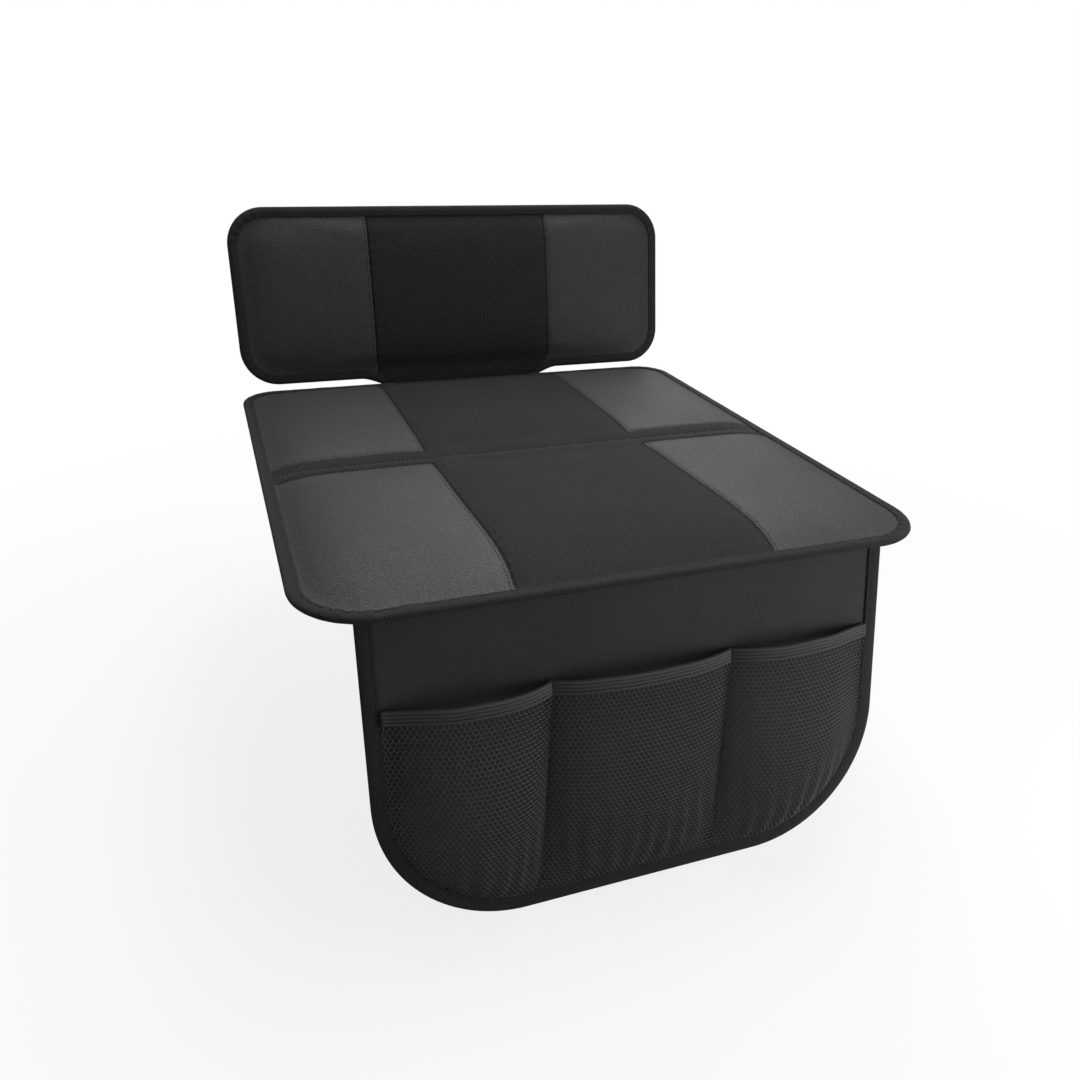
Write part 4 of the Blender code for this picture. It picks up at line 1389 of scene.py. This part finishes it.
def net_hold(pocket, x, drop):
    """The point brought back onto its own net."""
    drop = min(max(drop, POCKET_TOP + 0.001), NET_BOTTOM)
    left, right = pocket_sides(pocket, drop)
    down = drop - (NET_BOTTOM - NET_CORNER)
    if down > 0.0:
        curve = NET_HALF - NET_CORNER + math.sqrt(max(NET_CORNER**2 - down**2, 0.0))
        left, right = max(left, -curve), min(right, curve)
    return min(max(x, left), right), drop


def net_piece(name, pocket):
    """Six-sided gaps in staggered rows, bent over the pocket's form, with a cord along every side."""
    shape = bmesh.new()
    corner_of = {}
    side = NET_PITCH / math.sqrt(3)
    row_step = side * 1.5
    rows = int((NET_BOTTOM - POCKET_TOP) / row_step) + 1
    columns = int(2 * SKIRT_HALF / NET_PITCH) + 1

    def corner(x, drop):
        key = (round(x / side * 4), round(drop / side * 4))
        if key not in corner_of:
            held_x, held_drop = net_hold(pocket, x, drop)
            height = net_height(pocket, held_x, held_drop) + NET / 2
            corner_of[key] = shape.verts.new((held_x, -held_drop, height))
        return corner_of[key]

    for row in range(rows):
        drop = POCKET_TOP + row * row_step
        left, right = pocket_sides(pocket, drop)
        for column in range(columns):
            x = column * NET_PITCH - SKIRT_HALF + (NET_PITCH / 2 if row % 2 else 0.0)
            if not left < x < right or inside_outline(x, drop) < 0.0 or drop > NET_BOTTOM:
                continue
            angles = [math.pi / 3 * k for k in range(6)]
            ring = [corner(x + side * math.sin(a), drop + side * math.cos(a)) for a in angles]
            if len(set(ring)) == 6:
                shape.faces.new(ring)
    bmesh.ops.dissolve_degenerate(shape, edges=shape.edges[:], dist=0.0001)
    bmesh.ops.recalc_face_normals(shape, faces=shape.faces)
    piece = added(name, shape, SKIRT_PLACE)
    cords = piece.modifiers.new("cords", "WIREFRAME")
    cords.thickness = NET_CORD
    cords.use_even_offset = False
    cords.use_boundary = True
    cords.use_replace = True
    return piece


def net_look():
    """Knitted cords with a slight gloss."""
    made, tree, shader = shader_of("pocket_net")
    strands = noise_at(tree, own_place(tree), 1800.0)
    finished(tree, shader, blend_of(tree, strands, NET_DARK, NET_LIGHT), 0.5, sheen=0.05)
    bumped(tree, shader, strands, 0.00008)
    return made


def ribbed_profile():
    """Section of the elastic folded over the net's top: (down from the fold, out), with ribs in front."""
    wide = POCKET_TAPE_WIDTH
    half = NET / 2 + FACE_GAP
    front = []
    for index in range(ELASTIC_RIBS * 6 + 1):
        share = index / (ELASTIC_RIBS * 6)
        rib = 0.5 - 0.5 * math.cos(2 * math.pi * share * ELASTIC_RIBS)
        front.append((0.0008 + (wide - 0.0008) * share, half + ELASTIC * (0.6 + 0.5 * rib)))
    fold = [(0.0, half * 0.6), (-0.0002, 0.0), (0.0, -half * 0.6)]
    rear = [(0.0008, -half - ELASTIC * 0.8), (wide * 0.5, -half - ELASTIC), (wide, -half - ELASTIC * 0.9)]
    inner = [(wide, -half), (0.0016, -half), (0.0016, half), (wide, half)]
    return front[::-1] + fold + rear + inner


def on_elastic(pocket, x, down, out):
    """A point this far below the pocket's mouth and out from its net's middle, and the way outwards."""
    left, right = pocket_sides(pocket, POCKET_TOP)
    before, after = max(x - PROBE, left), min(x + PROBE, right)
    slope = (net_height(pocket, after, POCKET_TOP) - net_height(pocket, before, POCKET_TOP)) / (2 * PROBE)
    outward = Vector((-slope, 0.0, 1.0)).normalized()
    sway = ELASTIC_SWAY * noise.noise(Vector((x * 45, 3.0, pocket[2] * 100)))
    middle_out = net_height(pocket, x, POCKET_TOP) + NET / 2
    return Vector((x, -POCKET_TOP - down + sway, middle_out)) + outward * out, outward


def pocket_tape_piece(name, pocket):
    """The ribbed elastic along a pocket's mouth."""
    left, right = pocket_sides(pocket, POCKET_TOP)
    profile = ribbed_profile()
    shape = bmesh.new()
    count = round((right - left) / ELASTIC_STEP)
    runs = [(right - left) * index / count for index in range(count + 1)]
    rings = []
    for run in runs:
        ring = [on_elastic(pocket, left + run, down, out)[0] for down, out in profile]
        rings.append([shape.verts.new(point) for point in ring])
    downs = [down for down, _ in profile + profile[:1]]
    return taped(name, shape, rings, runs, downs, SKIRT_PLACE)


def elastic_look():
    """Ribbed elastic: four rounded ribs along it, crossed by fine weft, with painted shade darkening the
    valleys between the ribs.
    """
    made, tree, shader = shader_of("pocket_elastic")
    cloth, run, down = cloth_place(tree)
    picks = maths(tree, "SINE", maths(tree, "MULTIPLY", run, 2 * math.pi / 0.0016))
    ribs = maths(tree, "COSINE", maths(tree, "MULTIPLY", down, 2 * math.pi / ELASTIC_RIB))
    # The rib and weft pattern, with painted shade: the colour runs dark in the valleys between the ribs.
    raised = maths(tree, "MULTIPLY_ADD", ribs, -0.42, maths(tree, "MULTIPLY_ADD", picks, 0.08, 0.5))
    fuzz = noise_at(tree, cloth, 2400.0)
    broad = noise_at(tree, cloth, 40.0)
    tone = blend_of(tree, weighed(tree, (raised, 0.8), (fuzz, 0.3)), ELASTIC_DARK_WITH_VALLEY_SHADE, ELASTIC_LIGHT)
    tone = blend_of(tree, maths(tree, "MULTIPLY", broad, 0.3), tone, ELASTIC_SHADE)
    finished(tree, shader, tone, 0.75, 0.3, 0.04)
    bumped(tree, shader, raised, 0.00030)
    bumped(tree, shader, fuzz, 0.00004)
    return made


NET_LOOK = net_look()
ELASTIC_LOOK = elastic_look()
for pocket_name, pocket in POCKETS.items():
    net = net_piece(f"{pocket_name}_pocket_net", pocket)
    dressed(net, NET_LOOK, "pocket_net", f"pocket_net_{pocket_name}")
    elastic = pocket_tape_piece(f"{pocket_name}_pocket_elastic", pocket)
    dressed(elastic, ELASTIC_LOOK, "pocket_elastic", f"pocket_tape_{pocket_name}")
    left, right = pocket_sides(pocket, POCKET_TOP)


# Sewing of the pockets. A row of stitches holds the nets down between each two pockets, another runs
# along the elastic near its lower edge, and bar tacks hold the elastic down where pockets meet.
ROW_POINTS = 60
DIVIDER_ROW_OUT = 0.0009
ELASTIC_ROW = 0.0077
ELASTIC_ROW_OUT = 0.0013
TACK_HALF = 0.0016
TACK_ROWS = 8
TACK_SLANT = 0.0004
TACK_OUT = 0.0022
divider_rows = []
tack_rows = []
first_drop = POCKET_TOP + POCKET_TAPE_WIDTH
tack_height = NET_LOW + TAPE_LIFT + NET + TACK_OUT
for divider in (-DIVIDER, DIVIDER):
    row = []
    for step in range(ROW_POINTS + 1):
        drop = first_drop + (NET_BOTTOM - first_drop) * step / ROW_POINTS
        row.append((Vector((divider_at(divider, drop), -drop, NET_LOW + NET + DIVIDER_ROW_OUT)), UP))
    divider_rows.append(row)
    for step in range(TACK_ROWS + 1):
        drop = POCKET_TOP + 0.0008 + (POCKET_TAPE_WIDTH - 0.0016) * step / TACK_ROWS
        slant = TACK_SLANT * (-1) ** step
        ends = ((divider - TACK_HALF, -drop - slant), (divider + TACK_HALF, -drop + slant))
        tack_rows.append([(Vector((*end, tack_height)), UP) for end in ends])
elastic_rows = []
for pocket in POCKETS.values():
    left, right = pocket_sides(pocket, POCKET_TOP)
    places = [left + (right - left) * step / ROW_POINTS for step in range(ROW_POINTS + 1)]
    elastic_rows.append([on_elastic(pocket, x, ELASTIC_ROW, ELASTIC_ROW_OUT) for x in places])
for sewn_name, rows_sewn, pitch, length, thread, slot in (
    ("pocket_divider_stitching", divider_rows, STITCH_PITCH, STITCH_LENGTH, THREAD, "pocket_net"),
    ("pocket_elastic_stitching", elastic_rows, STITCH_PITCH, STITCH_LENGTH, THREAD, "pocket_elastic"),
    ("pocket_bar_tacks", tack_rows, 2 * TACK_HALF, 2 * TACK_HALF, THREAD * 0.8, "pocket_elastic"),
):
    sewn = stitches(sewn_name, rows_sewn, pitch, length, thread, SKIRT_PLACE)
    dressed(sewn, THREAD_LOOK, slot)


# Floor, light and camera. A plain white floor that fades into a white background, an even sky, three
# soft lamps overhead, behind right and in front right, and a camera that looks from the front left.
FLOOR_GAP = 0.004
FLOOR_HALF = 12.0
FLOOR_SEEN = (0.90, 0.90, 0.90)
FLOOR_BOUNCE = (0.42, 0.42, 0.42)
WHITE = (1.0, 1.0, 1.0, 1.0)
SKY_LIGHT = 0.20
LENS = 30.516
CAMERA_PLACE = Matrix(
    (
        (0.9405569434, 0.1228012145, -0.3166582584, -0.2565591633),
        (-0.3382394314, 0.4231384695, -0.8405640721, -0.6987435222),
        (0.0307680015, 0.8977046609, 0.4395220578, 0.2833160460),
        (0.0, 0.0, 0.0, 1.0),
    )
)


def floor_look():
    """White to the camera and fading into the background, but darker in the light that it throws back."""
    made, tree, shader = shader_of("floor")
    away = node(tree, "ShaderNodeVectorMath", {"operation": "LENGTH"})
    plug(tree, own_place(tree), away.inputs[0])
    camera_ray = node(tree, "ShaderNodeLightPath").outputs["Is Camera Ray"]
    fade = maths(tree, "MULTIPLY_ADD", ramped(tree, away.outputs["Value"], 0.30, 0.9), 0.18, 0.82)
    finished(tree, shader, blend_of(tree, camera_ray, FLOOR_BOUNCE, FLOOR_SEEN), 0.9, 0.0)
    white = node(tree, "ShaderNodeEmission", Color=WHITE, Strength=1.0)
    mixed = node(tree, "ShaderNodeMixShader")
    shares = (maths(tree, "MULTIPLY", fade, camera_ray), shader.outputs[0], white.outputs[0])
    for value, socket in zip(shares, mixed.inputs):
        plug(tree, value, socket)
    plug(tree, mixed.outputs[0], tree.nodes["Material Output"].inputs["Surface"])
    return made


floor = added("floor", grid((-FLOOR_HALF, FLOOR_HALF), (-FLOOR_HALF, FLOOR_HALF)))
floor.location.z = cad_low.z - FLOOR_GAP
floor.data.materials.append(floor_look())

world = bpy.data.worlds.new("studio")
bpy.context.scene.world = world
world.use_nodes = True
sky = world.node_tree
seen = node(sky, "ShaderNodeLightPath").outputs["Is Camera Ray"]
backdrop = sky.nodes["Background"]
backdrop.inputs["Color"].default_value = WHITE
plug(sky, maths(sky, "MULTIPLY_ADD", seen, 1.0 - SKY_LIGHT, SKY_LIGHT), backdrop.inputs["Strength"])


def lamp(name, place, target, size, power):
    """A square soft lamp at a place, turned towards a target."""
    light = bpy.data.lights.new(name, "AREA")
    light.size = size
    light.energy = power
    obj = bpy.data.objects.new(name, light)
    obj.location = place
    obj.rotation_euler = (Vector(target) - Vector(place)).to_track_quat("-Z", "Y").to_euler()
    obj.visible_camera = False
    bpy.context.scene.collection.objects.link(obj)


lamp("overhead_lamp", (0.30, 0.24, 1.30), (0.0, -0.08, 0.0), 0.9, 13.0)
lamp("rear_lamp", (0.52, 1.10, 0.84), (0.0, -0.10, 0.0), 1.0, 8.0)
lamp("front_lamp", (0.60, -0.66, -0.05), (-0.05, -0.27, -0.16), 0.4, 2.8)

camera_data = bpy.data.cameras.new("camera")
camera_data.lens = LENS
camera_data.sensor_width = 36.0
camera_data.clip_start = 0.01
camera = bpy.data.objects.new("camera", camera_data)
bpy.context.scene.collection.objects.link(camera)
camera.matrix_world = CAMERA_PLACE
bpy.context.scene.camera = camera
bpy.context.scene.view_settings.view_transform = "Standard"
